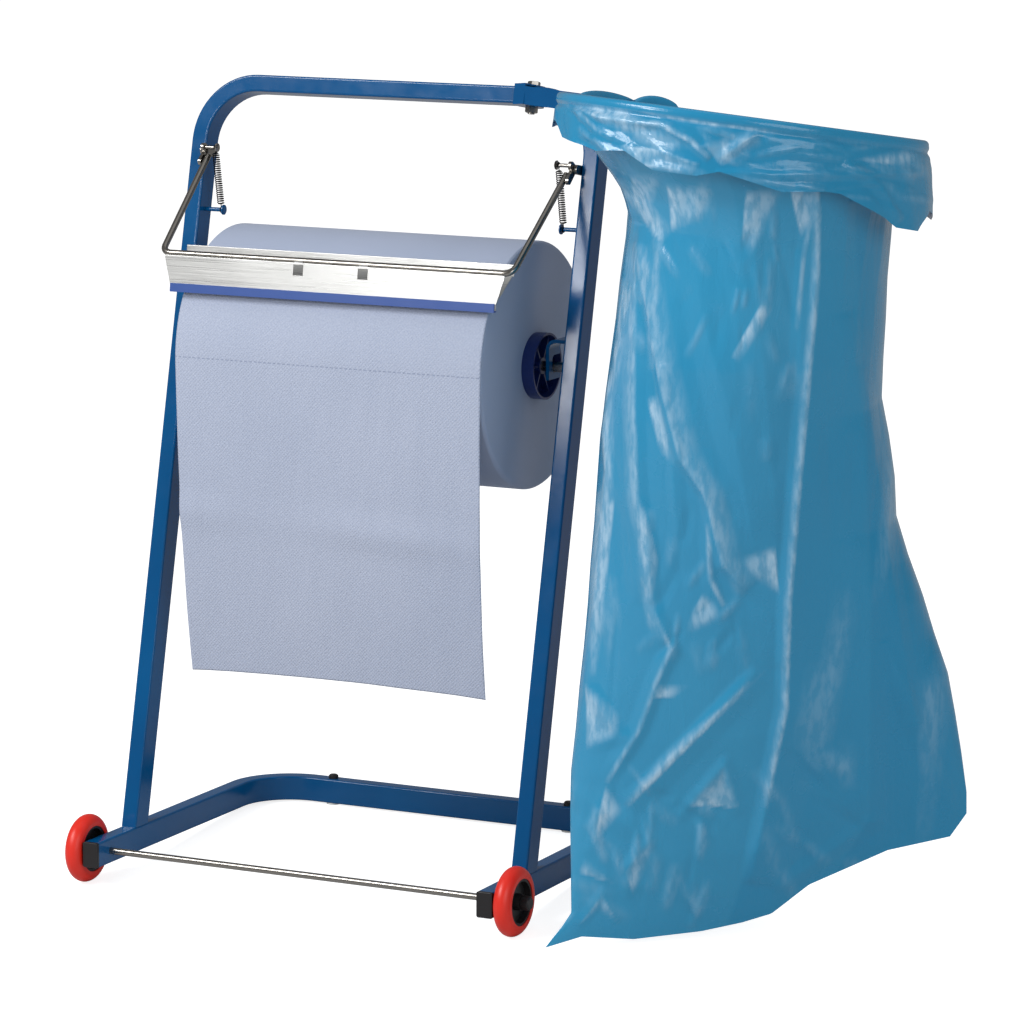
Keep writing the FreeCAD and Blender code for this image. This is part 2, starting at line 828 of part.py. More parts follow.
def tear_strip():
    """Plastic edge pushed up over the plate's hem."""
    t = plate_thickness
    front = plate_front_y(plate_edge_z) - t / 2 - slip
    back = plate_front_y(plate_edge_z) + t * 1.6 + slip * 2
    low = plate_edge_z - slip - edge_strip_wall
    high = low + edge_strip_height
    lean_back = (high - low) * math.tan(math.radians(plate_slope_deg))
    half = edge_strip_width / 2
    inside_low = plate_edge_z - slip
    inside_rise = high - inside_low
    short = high - 4.0
    short_shift = (short - low) * math.tan(math.radians(plate_slope_deg))
    wall = edge_strip_wall
    lift = inside_rise * math.tan(math.radians(plate_slope_deg))
    corners = [
        (front - wall, low), (back + wall, low), (back + wall + short_shift, short),
        (back + short_shift, short), (back, inside_low), (front, inside_low),
        (front + lift, high), (front - wall + lean_back, high),
    ]
    points = [V(-half, y, z) for y, z in corners]
    return Part.Face(Part.makePolygon(points + [points[0]])).extrude(V(2 * half, 0, 0))


# Springs
def tension_spring(side):
    """Close-wound spring between the stud and the spring pin, with a hook at each end."""
    x = side * (inner_face - spring_inset)
    low = stud_point(x)
    high = spring_pin_point(x)
    way = (high - low).normalize()
    half_wire = spring_wire / 2
    hook_low = stud_diameter / 2 + rub_gap + half_wire
    hook_high = spring_pin_diameter / 2 + rub_gap + half_wire
    coil_start = low + way * (hook_low + spring_neck)
    coil_end = high - way * (hook_high + spring_neck)
    coil_length = (coil_end - coil_start).Length
    pitch = coil_length / spring_turns
    outer = spring_diameter / 2
    inner = outer - spring_wire
    ridges = [(0.0, inner)]
    for turn in range(spring_turns):
        ridges.append((turn * pitch, outer - half_wire))
        ridges.append(((turn + 0.5) * pitch, outer))
    ridges.append((coil_length, outer - half_wire))
    ridges.append((coil_length, inner))
    points = [coil_start + way * a + X_AXIS * r for a, r in ridges]
    coil = Part.Face(Part.makePolygon(points + [points[0]])).revolve(coil_start, way, 360)
    lower = spring_hook(low, hook_low, way)
    upper = spring_hook(high, hook_high, way * -1)
    return coil.fuse([lower, upper])


def spring_hook(centre, radius, way):
    """Round hook about a pin, run smoothly into a shank and a disc inside the coil's end."""
    side_way = way.cross(X_AXIS).normalize()
    bend = spring_neck_bend
    rise = math.sqrt(radius ** 2 + 2 * radius * bend)
    inside = radius + spring_neck + spring_wire

    def at(across, along):
        return centre + side_way * across + way * along

    def on_bend(angle):
        return at(bend * (math.cos(angle) - 1), rise + bend * math.sin(angle))

    def on_loop(angle):
        return at(radius * math.cos(angle), radius * math.sin(angle))

    turn = -math.atan2(rise, bend)
    loop_start = math.atan2(rise, -bend)
    loop = math.radians(spring_loop_deg)
    wire = Part.Wire([
        Part.makeLine(at(0, inside), at(0, rise)),
        Part.Arc(on_bend(0), on_bend(turn / 2), on_bend(turn)).toShape(),
        Part.Arc(on_loop(loop_start), on_loop(loop_start + loop / 2), on_loop(loop_start + loop)).toShape(),
    ])
    section = wire_section(spring_wire / 2, at(0, inside), X_AXIS, side_way)
    hook = wire.makePipeShell([section], True, False)
    end_turn = cylinder(spring_diameter / 2 - 0.6 * spring_wire, at(0, inside - 0.8 * spring_wire),
                        at(0, inside))
    return hook.fuse(end_turn)


# Bag holder
def holder_axes():
    """Arm direction, front normal and bolt direction of the holder."""
    yaw = math.radians(arm_yaw_deg)
    up = V(0, math.sin(lean), math.cos(lean))
    forward = V(0, -math.cos(lean), math.sin(lean))
    along = X_AXIS * math.cos(yaw) + forward * math.sin(yaw)
    front = forward * math.cos(yaw) - X_AXIS * math.sin(yaw)
    return along, front, up


def holder_point(along_by, front_by, up_by):
    """Point given from the bolt's middle along the arm, to its front and up the bolt."""
    along, front, up = holder_axes()
    top_mid = frame_run - tube_thin / 2
    middle = V(bolt_x, upright_foot_y + top_mid * math.sin(lean), base_top_z + top_mid * math.cos(lean))
    return middle + along * along_by + front * front_by + up * up_by


def arm_axes():
    """The drooping frame of arm and hoop: along the arm, its front and the hoop's normal."""
    normal = V(hoop_slope_x, hoop_slope_y, 1).normalize()
    level = holder_axes()[0]
    along = (level - normal * level.dot(normal)).normalize()
    return along, along.cross(normal), normal


def arm_point(along_by, front_by, up_by):
    """Point in the arm's drooping frame, whose zero height is the hoop's plane."""
    along, front, up = arm_axes()
    return holder_point(0, 0, hoop_above_tube_middle) + along * along_by + front * front_by + up * up_by


def slab(place, corners, low, high):
    """Flat plate with (along, front) corners between two heights of a frame."""
    points = [place(a, f, low) for a, f in corners]
    rise = place(0, 0, high) - place(0, 0, low)
    return Part.Face(Part.makePolygon(points + [points[0]])).extrude(rise)


def bag_bracket():
    """Eye tabs over and under the top tube, joined by a front web that runs on as a channel arm."""
    up = holder_axes()[2]
    inside = tube_thin / 2 + slip
    outside = inside + bracket_sheet
    web_out = bracket_web_front
    web_in = web_out - bracket_sheet
    flange_in = web_out - bracket_flange
    start = -bracket_web_start
    seat = hoop_reach - hoop_diameter / 2
    arm_end = seat + arm_past_hoop
    web_end = seat - hoop_rod / 2 - 3.0
    eye = bracket_eye_radius
    body = slab(holder_point, [(start, web_in), (eye, web_in), (eye, web_out), (start, web_out)],
                -outside, outside)
    tongue = [(-eye, 0), (eye, 0), (eye, web_out), (start, web_out), (start, flange_in),
              (-eye, flange_in - eye / 2)]
    for low in (inside, -outside):
        tab = slab(holder_point, tongue, low, low + bracket_sheet)
        disc = Part.makeCylinder(eye, bracket_sheet, holder_point(0, 0, low), up)
        body = body.fuse([tab, disc])
    arm_top = hoop_rod / 2 + slip + bracket_sheet
    arm_low = arm_top - bracket_height
    strip = [(eye, flange_in), (eye, web_out), (arm_end, web_out), (arm_end, flange_in)]
    upper = slab(arm_point, strip, arm_top - bracket_sheet, arm_top)
    lower = slab(arm_point, strip, arm_low, arm_low + bracket_sheet)
    outline = [
        arm_point(start, web_in, arm_low + bracket_nose),
        arm_point(start, web_in, arm_top - bracket_nose / 2),
        arm_point(start + bracket_nose / 2, web_in, arm_top),
        arm_point(web_end, web_in, arm_top),
        arm_point(web_end, web_in, arm_low), arm_point(start + bracket_nose, web_in, arm_low),
    ]
    face = Part.Face(Part.makePolygon(outline + [outline[0]]))
    web = face.extrude(arm_axes()[1] * bracket_sheet)
    body = body.fuse([upper, lower, web])
    hole = cylinder(bolt_diameter / 2 + running, holder_point(0, 0, -2 * outside),
                    holder_point(0, 0, 2 * outside))
    return body.cut(hole).removeSplitter()


def hexagon(across_flats, low, high):
    """Six-sided prism on the bolt's line."""
    up = holder_axes()[2]
    reach = across_flats / math.sqrt(3)
    corners = [(reach * math.cos(math.radians(60 * n)), reach * math.sin(math.radians(60 * n)))
               for n in range(6)]
    prism = slab(holder_point, corners, low, high)
    limit = Part.makeCone(across_flats / 2 * 0.97 + (high - low) * 1.7, across_flats / 2 * 0.97,
                          high - low, holder_point(0, 0, low), up)
    return prism.common(limit)


def holder_bolt():
    """Hexagon bolt through the bracket and the top tube."""
    under_head = tube_thin / 2 + slip + bracket_sheet + slip
    end = -(under_head + nut_height + 1.5)
    head = hexagon(bolt_head_across, under_head, under_head + bolt_head_height)
    shank = cylinder(bolt_diameter / 2, holder_point(0, 0, end), holder_point(0, 0, under_head))
    return head.fuse(shank)


def holder_nut():
    """Nut under the bracket, its rounded face down."""
    seat = -(tube_thin / 2 + slip + bracket_sheet + slip)
    nut = hexagon(bolt_head_across, -seat, -seat + nut_height)
    nut.rotate(holder_point(0, 0, 0), holder_axes()[0], 180)
    return nut.cut(cylinder(bolt_diameter / 2 + 0.02, holder_point(0, 0, seat - 2 * nut_height),
                            holder_point(0, 0, 0)))


def hoop_centre():
    return arm_point(hoop_reach, bracket_web_front - bracket_flange / 2, 0)


def bag_hoop():
    """Round rod ring under the arm's top flange, over which the bag is folded."""
    return Part.makeTorus(hoop_diameter / 2, hoop_rod / 2, hoop_centre(), arm_axes()[2])


# Bag
def hung_hoop():
    """Middle and normal of the hoop on the leaning stand, and the way its arm points."""
    along, _, normal = arm_axes()
    return rest_turn.multVec(hoop_centre()), rest_turn.multVec(normal), rest_turn.multVec(along)


def bag_directions(turn_deg=0.0):
    """Level width and depth directions of the hanging bag."""
    yaw = math.radians(bag_yaw_deg + turn_deg)
    return V(math.cos(yaw), math.sin(yaw), 0), V(-math.sin(yaw), math.cos(yaw), 0)


def bag_top():
    """Middle of the film's round section just under the hoop, a little inside the rim's skirt."""
    centre, normal, _ = hung_hoop()
    return centre - normal * (bag_inner_skirt - bag_overlap)


def floor_height():
    """Where the leaning stand has its floor."""
    return axle_z * math.cos(rest_lean) - wheel_radius


def bag_height():
    """From that section to the low left corner of the bottom seam, just clear of the floor."""
    return bag_top().z - floor_height() - bag_floor_gap


def bag_profile(share):
    """Left and right half widths, half depth and fold depth at a share of the way down."""
    waist = (bag_waist_below - bag_inner_skirt) / bag_height()
    mouth = hoop_diameter / 2 - hoop_rod / 2 - bag_rod_gap - bag_wall / 2
    if share < waist:
        ease = 0.5 - 0.5 * math.cos(math.pi * share / waist)
        halves = [mouth + (at_waist - mouth) * ease
                  for at_waist in (bag_waist_left, bag_waist_right, bag_waist_half_depth)]
        return halves + [bag_fold_depth * ease]
    down = (share - waist) / (1 - waist)
    left = bag_waist_left + (bag_bottom_left - bag_waist_left) * down ** bag_spread_left
    right = bag_waist_right + (bag_bottom_right - bag_waist_right) * down ** bag_spread_right
    deep = bag_bottom_half_depth + (bag_waist_half_depth - bag_bottom_half_depth) * (1 - down ** bag_taper)
    return left, right, deep, bag_fold_depth * (1 - down ** 2)


def bag_section(share, inset):
    """Ring of points round the fluted bag at a share of its height, moved inwards by inset."""
    width, depth = bag_directions(bag_bottom_turn_deg * share)
    normal = hung_hoop()[1]
    tilted_width = (width - normal * normal.dot(width)).normalize()
    tilted_depth = normal.cross(tilted_width)
    width_way = tilted_width * (1 - share) + width * share
    depth_way = tilted_depth * (1 - share) + depth * share
    left, right, deep, fold = bag_profile(share)
    half = (left + right) / 2
    centre = bag_top() - V(0, 0, share * bag_height()) - depth * (bag_bottom_front * share ** 2)
    centre += width_way * ((right - left) / 2)
    points = []
    for number in range(bag_section_points):
        angle = 2 * math.pi * number / bag_section_points
        flute = 1 + fold * math.cos(bag_fold_count * angle + bag_fold_drift * share)
        w = (half * flute - inset) * math.cos(angle)
        d = (deep * flute - inset) * math.sin(angle)
        across = max(0.0, (w + half) / (2 * half))
        rise = bag_bottom_rise * share ** 2 * across ** bag_bottom_curve
        points.append(centre + width_way * w + depth_way * d + V(0, 0, rise))
    return points


def hollow_form(rings):
    """Solid between rings of points, with a flat top and a bottom that follows the last ring."""
    count = len(rings[0])
    faces = [Part.Face(Part.makePolygon(rings[0] + [rings[0][0]]))]
    spans = []
    for upper, lower in zip(rings, rings[1:]):
        for number in range(count):
            spans.append((upper[number - 1], upper[number], lower[number - 1], lower[number]))
    last = rings[-1]
    for number in range(1, count // 2 - 1):
        spans.append((last[number], last[number + 1], last[-number], last[-number - 1]))
    for a, b, c, d in spans:
        faces.append(Part.makeRuledSurface(Part.makeLine(a, b), Part.makeLine(c, d)))
    for a, b, c in ((last[0], last[1], last[-1]),
                    (last[count // 2], last[count // 2 - 1], last[count // 2 + 1])):
        faces.append(Part.Face(Part.makePolygon([a, b, c, a])))
    shell = Part.makeShell(faces)
    shell.sewShape()
    solid = Part.makeSolid(shell)
    if solid.Volume < 0:
        solid.reverse()
    return solid


def bag_rim():
    """Film that comes up inside the hoop, over it and hangs outside as a cuff."""
    centre, axis, out = hung_hoop()
    ring = hoop_diameter / 2
    inner = hoop_rod / 2 + bag_rod_gap
    outer = inner + bag_wall
    longer = 1.5
    drop = bag_cuff_drop_right * longer
    flare = bag_cuff_flare * longer
    skirt = bag_inner_skirt

    def at(r, h):
        return centre + out * (ring + r) + axis * h

    edges = [
        Part.makeLine(at(-outer, -skirt), at(-inner, -skirt)),
        Part.makeLine(at(-inner, -skirt), at(-inner, 0)),
        Part.Arc(at(-inner, 0), at(0, inner), at(inner, 0)).toShape(),
        Part.makeLine(at(inner, 0), at(inner + flare, -drop)),
        Part.makeLine(at(inner + flare, -drop), at(outer + flare, -drop)),
        Part.makeLine(at(outer + flare, -drop), at(outer, 0)),
        Part.Arc(at(outer, 0), at(0, outer), at(-outer, 0)).toShape(),
        Part.makeLine(at(-outer, 0), at(-outer, -skirt)),
    ]
    return Part.Face(Part.Wire(edges)).revolve(centre, axis, 360)


def cuff_trim():
    """Everything below the cuff's sloping edge, outside the hoop."""
    width, depth = bag_directions()
    centre, normal, _ = hung_hoop()
    reach = hoop_diameter
    top_slope = -normal.dot(width) / normal.z

    def at(w, drop):
        return centre + width * w - depth * reach + V(0, 0, top_slope * w - drop)

    ring = hoop_diameter / 2
    left_slope = (bag_cuff_drop_knee - bag_cuff_drop_left) / (bag_cuff_knee + ring)
    right_slope = (bag_cuff_drop_right - bag_cuff_drop_knee) / (ring - bag_cuff_knee)
    corners = [at(-reach, bag_cuff_drop_left - left_slope * (reach - ring)),
               at(bag_cuff_knee, bag_cuff_drop_knee),
               at(reach, bag_cuff_drop_right + right_slope * (reach - ring)),
               at(reach, 2 * reach), at(-reach, 2 * reach)]
    block = Part.Face(Part.makePolygon(corners + [corners[0]])).extrude(depth * (2 * reach))
    core = cylinder(hoop_diameter / 2, centre - normal * reach, centre + normal * reach)
    return block.cut(core)


def arm_notch():
    """Room in the film where the arm comes in over the hoop."""
    front = bracket_web_front + bag_arm_gap
    back = bracket_web_front - bracket_flange - bag_arm_gap
    end = hoop_reach - hoop_diameter / 2 + arm_past_hoop + bag_arm_gap
    start = end - 2 * bracket_height
    corners = [(start, back), (end, back), (end, front), (start, front)]
    notch = slab(arm_point, corners, -bracket_height - bag_arm_gap, 2 * bracket_height)
    notch.Placement = FreeCAD.Placement(V(0, 0, 0), rest_turn).multiply(notch.Placement)
    return notch


def waste_bag():
    """Thin fluted bag, open at the mouth, folded over the hoop with a hanging cuff."""
    outside = [bag_section(share, 0) for share in bag_section_shares]
    inside = [bag_section(share, bag_wall) for share in bag_section_shares[:-1]]
    inside.append(bag_section(1 - bag_seam_height / bag_height(), 2 * bag_wall))
    body = hollow_form(outside).cut(hollow_form(inside))
    rim = bag_rim().cut(cuff_trim())
    return body.fuse(rim).cut(arm_notch())


def build_parts():
    """Every part by name: the stand leaned back onto its feet, then the bag."""
    parts = {
        "base_frame": base_frame(),
        "upright_frame": upright_frame(),
        "axle_rod": axle_rod(),
        "paper_roll": paper_roll(),
        "roll_core": roll_core(),
        "roll_shaft": roll_shaft(),
        "hanging_sheet": hanging_sheet(),
        "tear_bar_rod": tear_bar_rod(),
        "tear_plate": tear_plate(),
        "tear_strip": tear_strip(),
        "bag_bracket": bag_bracket(),
        "holder_bolt": holder_bolt(),
        "holder_nut": holder_nut(),
        "bag_hoop": bag_hoop(),
    }
    paired = {
        "end_plug": end_plug,
        "rear_foot": rear_foot,
        "foot_cap": foot_cap,
        "tyre": tyre,
        "hub": hub,
        "axle_washer": axle_washer,
        "axle_cap": axle_cap,
        "core_plug": core_plug,
        "roll_hook": roll_hook,
        "pivot_lug": pivot_lug,
        "pivot_pin": pivot_pin,
        "spring_stud": spring_stud,
        "crank": crank,
        "spring_pin": spring_pin,
        "spring": tension_spring,
    }
    for name, make in paired.items():
        for word, side in (("left", -1), ("right", 1)):
            parts[word + "_" + name] = make(side)
    for shape in parts.values():
        shape.rotate(V(0, 0, 0), X_AXIS, -math.degrees(rest_lean))
    parts["waste_bag"] = waste_bag()
    return parts


def bottom_centre(parts):
    """Middle of the overall box at floor level."""
    boxes = [shape.optimalBoundingBox(False, False) for shape in parts.values()]
    low_x = min(box.XMin for box in boxes)
    high_x = max(box.XMax for box in boxes)
    low_y = min(box.YMin for box in boxes)
    high_y = max(box.YMax for box in boxes)
    low_z = min(box.ZMin for box in boxes)
    return V((low_x + high_x) / 2, (low_y + high_y) / 2, low_z)


parts = build_parts()
origin = bottom_centre(parts)
os.makedirs("parts", exist_ok=True)
for name, shape in parts.items():
    shape.translate(origin * -1)
    shape.exportStep(os.path.join("parts", name + ".step"))
    print(name, shape.isValid(), len(shape.Solids), round(shape.Volume))
print("origin", origin)
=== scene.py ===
import bpy
import math
import random
import numpy as np
from mathutils import Matrix, Vector, noise


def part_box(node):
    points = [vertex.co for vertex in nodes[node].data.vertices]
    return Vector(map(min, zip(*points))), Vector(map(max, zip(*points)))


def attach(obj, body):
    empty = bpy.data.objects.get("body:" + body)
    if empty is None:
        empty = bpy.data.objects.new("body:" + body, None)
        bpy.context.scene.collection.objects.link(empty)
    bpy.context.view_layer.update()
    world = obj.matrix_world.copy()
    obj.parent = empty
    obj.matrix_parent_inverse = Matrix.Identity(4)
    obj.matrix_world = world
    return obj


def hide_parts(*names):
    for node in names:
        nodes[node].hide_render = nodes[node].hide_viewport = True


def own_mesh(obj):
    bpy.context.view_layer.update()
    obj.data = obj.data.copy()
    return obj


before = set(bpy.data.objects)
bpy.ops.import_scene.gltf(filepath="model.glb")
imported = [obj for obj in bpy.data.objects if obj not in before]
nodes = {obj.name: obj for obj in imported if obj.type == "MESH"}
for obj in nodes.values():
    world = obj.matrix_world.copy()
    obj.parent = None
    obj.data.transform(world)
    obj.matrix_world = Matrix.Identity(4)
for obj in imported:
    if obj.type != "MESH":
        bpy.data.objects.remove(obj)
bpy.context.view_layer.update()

MM = 0.001
AXLE_HEIGHT = 40.0
LEAN_DEGREES = 3.404054
LEAN = Matrix.Rotation(math.radians(-LEAN_DEGREES), 3, "X")


def middle(node):
    """Middle of a node's box, in metres."""
    low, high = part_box(node)
    return Vector([(a + b) / 2 for a, b in zip(low, high)])


axle_middle = middle("axle_rod")


def turned(x, y, z):
    """Direction of the level stand, as the stand leans on the floor."""
    return LEAN @ Vector((x, y, z))


def at(x, y, z):
    """Point in metres, from millimetres of the level stand measured from under its wheel axle."""
    return axle_middle + turned(x, y, z - AXLE_HEIGHT) * MM


# Colours and finishes
def shade(red, green, blue):
    """Linear colour from the 0 to 255 values of a picture."""
    out = []
    for value in (red, green, blue):
        c = value / 255
        out.append(c / 12.92 if c <= 0.04045 else ((c + 0.055) / 1.055) ** 2.4)
    return (*out, 1.0)


def add(material, kind, **values):
    """One shader node with its input sockets and settings filled in."""
    node = material.node_tree.nodes.new(kind)
    for name, value in values.items():
        if hasattr(node, name):
            setattr(node, name, value)
        else:
            node.inputs[name.replace("_", " ")].default_value = value
    return node


def join(material, source, output, target, socket):
    """Link from one shader node's output to another's socket."""
    material.node_tree.links.new(source.outputs[output], target.inputs[socket])


def finish(name, colour, roughness, metallic=0.0, **sockets):
    """New material and its main shader, with the shader's sockets filled in."""
    material = bpy.data.materials.new(name)
    material.use_nodes = True
    shader = material.node_tree.nodes["Principled BSDF"]
    shader.inputs["Base Color"].default_value = colour
    shader.inputs["Roughness"].default_value = roughness
    shader.inputs["Metallic"].default_value = metallic
    for socket, value in sockets.items():
        shader.inputs[socket.replace("_", " ")].default_value = value
    return material, shader


def object_points(material, stretch=(1, 1, 1), shift=(0, 0, 0)):
    """Object coordinates, moved and scaled along each axis."""
    place = add(material, "ShaderNodeTexCoord")
    moved = add(material, "ShaderNodeMapping", Location=shift, Scale=stretch)
    join(material, place, "Object", moved, "Vector")
    return moved


def colour_mix(material, share, output, first, second):
    """Colour between two values by another node's output. first may be a node's colour output."""
    mix = material.node_tree.nodes.new("ShaderNodeMix")
    mix.data_type = "RGBA"
    if isinstance(first, tuple):
        mix.inputs[6].default_value = first
    else:
        material.node_tree.links.new(first.outputs[2], mix.inputs[6])
    mix.inputs[7].default_value = second
    material.node_tree.links.new(share.outputs[output], mix.inputs[0])
    return mix


def noise_share(material, points, scale, detail=4.0, low=0.3, high=0.7, to_low=0.0, to_high=1.0):
    """Noise turned into a value between two limits."""
    texture = add(material, "ShaderNodeTexNoise", Scale=scale, Detail=detail)
    ramp = add(material, "ShaderNodeMapRange", From_Min=low, From_Max=high, To_Min=to_low, To_Max=to_high)
    join(material, points, "Vector", texture, "Vector")
    join(material, texture, "Fac", ramp, "Value")
    return ramp


def colour_drift(material, shader, points, scale, first, second, detail=4.0):
    """Base colour that drifts between two colours."""
    mix = colour_mix(material, noise_share(material, points, scale, detail), "Result", first, second)
    material.node_tree.links.new(mix.outputs[2], shader.inputs["Base Color"])
    return mix


def rough_drift(material, shader, points, scale, low, high):
    """Roughness that drifts between two values."""
    share = noise_share(material, points, scale, 5.0, 0.3, 0.7, low, high)
    join(material, share, "Result", shader, "Roughness")


def bump(material, shader, source, output, strength, distance, before=None):
    """Bump from a node's output, laid over an earlier bump where one is given."""
    node = add(material, "ShaderNodeBump", Strength=strength, Distance=distance)
    join(material, source, output, node, "Height")
    if before is not None:
        join(material, before, "Normal", node, "Normal")
    join(material, node, "Normal", shader, "Normal")
    return node


def blue_coating():
    """Glossy powder coat with a faint orange peel."""
    material, shader = finish("blue_coating", shade(0, 90, 146), 0.3, Specular_IOR_Level=0.35)
    points = object_points(material)
    colour_drift(material, shader, points, 9.0, shade(0, 75, 127), shade(0, 82, 135))
    rough_drift(material, shader, points, 40.0, 0.12, 0.2)
    peel = add(material, "ShaderNodeTexNoise", Scale=160.0, Detail=2.0)
    join(material, points, "Vector", peel, "Vector")
    bump(material, shader, peel, "Fac", 0.03, 0.0004)
    return material


def zinc(name, colour, low, high, stretch):
    """Plated steel with fine marks along its length."""
    material, shader = finish(name, colour, 0.3, 1.0)
    points = object_points(material, stretch)
    rough_drift(material, shader, points, 30.0, low, high)
    marks = add(material, "ShaderNodeTexNoise", Scale=200.0, Detail=6.0)
    join(material, points, "Vector", marks, "Vector")
    bump(material, shader, marks, "Fac", 0.1, 0.0004)
    return material


def brushed_plate():
    """Bright sheet, brushed along its length, with cloudy patches."""
    material, shader = finish("brushed_plate", shade(206, 206, 204), 0.3, 0.85)
    fine = object_points(material, (0.6, 60, 60))
    rough_drift(material, shader, fine, 12.0, 0.24, 0.42)
    lines = add(material, "ShaderNodeTexNoise", Scale=30.0, Detail=8.0)
    join(material, fine, "Vector", lines, "Vector")
    bump(material, shader, lines, "Fac", 0.18, 0.0004)
    cloudy = object_points(material, (1, 3, 3))
    colour_drift(material, shader, cloudy, 18.0, shade(196, 196, 194), shade(206, 206, 204))
    return material


def moulded(name, colour, low, high, grain=900.0, strength=0.15):
    """Plastic or rubber with a fine grain."""
    material, shader = finish(name, colour, (low + high) / 2)
    points = object_points(material)
    rough_drift(material, shader, points, 50.0, low, high)
    texture = add(material, "ShaderNodeTexNoise", Scale=grain, Detail=3.0)
    join(material, points, "Vector", texture, "Vector")
    bump(material, shader, texture, "Fac", strength, 0.0004)
    return material


def crepe(name, first, second):
    """Soft paper with fibre noise, and the shader and last bump node for what is laid over it."""
    material, shader = finish(name, first, 0.9, Sheen_Weight=0.12, Sheen_Roughness=0.5)
    points = object_points(material)
    colours = colour_drift(material, shader, points, 4.0, first, second, detail=6.0)
    fibre = add(material, "ShaderNodeTexNoise", Scale=900.0, Detail=8.0, Roughness=0.7)
    join(material, points, "Vector", fibre, "Vector")
    soft = bump(material, shader, fibre, "Fac", 0.3, 0.0006)
    return material, shader, colours, soft


def sheet_paper(perforation):
    """Embossed towel. Its UV is in metres, across from the middle and down from the tear edge."""
    material, shader, colours, soft = crepe("sheet_paper", shade(170, 179, 199), shade(178, 186, 205))
    tree = material.node_tree
    flat = add(material, "ShaderNodeUVMap", uv_map="UVMap")
    turned_uv = add(material, "ShaderNodeMapping", Rotation=(0, 0, math.radians(45)))
    join(material, flat, "UV", turned_uv, "Vector")
    dots = add(material, "ShaderNodeTexVoronoi", Scale=330.0, Randomness=0.15)
    dots.feature = "SMOOTH_F1"
    join(material, turned_uv, "Vector", dots, "Vector")
    embossed = bump(material, shader, dots, "Distance", 0.7, 0.0016, soft)
    drape = add(material, "ShaderNodeMapping", Scale=(14, 3.0, 1))
    join(material, flat, "UV", drape, "Vector")
    creases = add(material, "ShaderNodeTexNoise", Scale=1.0, Detail=7.0, Distortion=0.8)
    join(material, drape, "Vector", creases, "Vector")
    embossed = bump(material, shader, creases, "Fac", 0.35, 0.008, embossed)
    specks = noise_share(material, turned_uv, 420.0, 2.0, 0.35, 0.65, 0.0, 0.22)
    colours = colour_mix(material, specks, "Result", colours, shade(120, 134, 168))
    split = add(material, "ShaderNodeSeparateXYZ")
    join(material, flat, "UV", split, "Vector")

    def maths(operation, first, second):
        node = tree.nodes.new("ShaderNodeMath")
        node.operation = operation
        for socket, value in enumerate((first, second)):
            if isinstance(value, tuple):
                join(material, value[0], value[1], node, socket)
            else:
                node.inputs[socket].default_value = value
        return node

    slot_half_height = 0.0007
    slot_spacing = 0.0062
    off = maths("SUBTRACT", (split, "Y"), perforation)
    off = maths("ABSOLUTE", (off, "Value"), 0.0)
    near = maths("LESS_THAN", (off, "Value"), slot_half_height)
    beat = maths("MULTIPLY", (split, "X"), 2 * math.pi / slot_spacing)
    beat = maths("SINE", (beat, "Value"), 0.0)
    open_part = maths("GREATER_THAN", (beat, "Value"), -0.35)
    cut = maths("MULTIPLY", (near, "Value"), (open_part, "Value"))
    # Painted shade in the perforation's slots: the paper colour is darkened where it is cut.
    slot_shade = maths("MULTIPLY", (cut, "Value"), 0.45)
    mix = colour_mix(material, slot_shade, "Value", colours, shade(112, 124, 156))
    tree.links.new(mix.outputs[2], shader.inputs["Base Color"])
    bump(material, shader, cut, "Value", 0.6, -0.0006, embossed)
    return material


def roll_paper(centre):
    """The same paper wound up: its turns show as fine rings on the ends."""
    material, shader, _, soft = crepe("roll_paper", shade(156, 167, 190), shade(164, 174, 197))
    rings_at = object_points(material, shift=(0, -centre.y, -centre.z))
    rings = add(material, "ShaderNodeTexWave", Scale=260.0, Distortion=1.2, Detail=2.0, Detail_Scale=0.4)
    rings.wave_type = "RINGS"
    rings.rings_direction = "X"
    join(material, rings_at, "Vector", rings, "Vector")
    bump(material, shader, rings, "Fac", 0.35, 0.0006, soft)
    return material


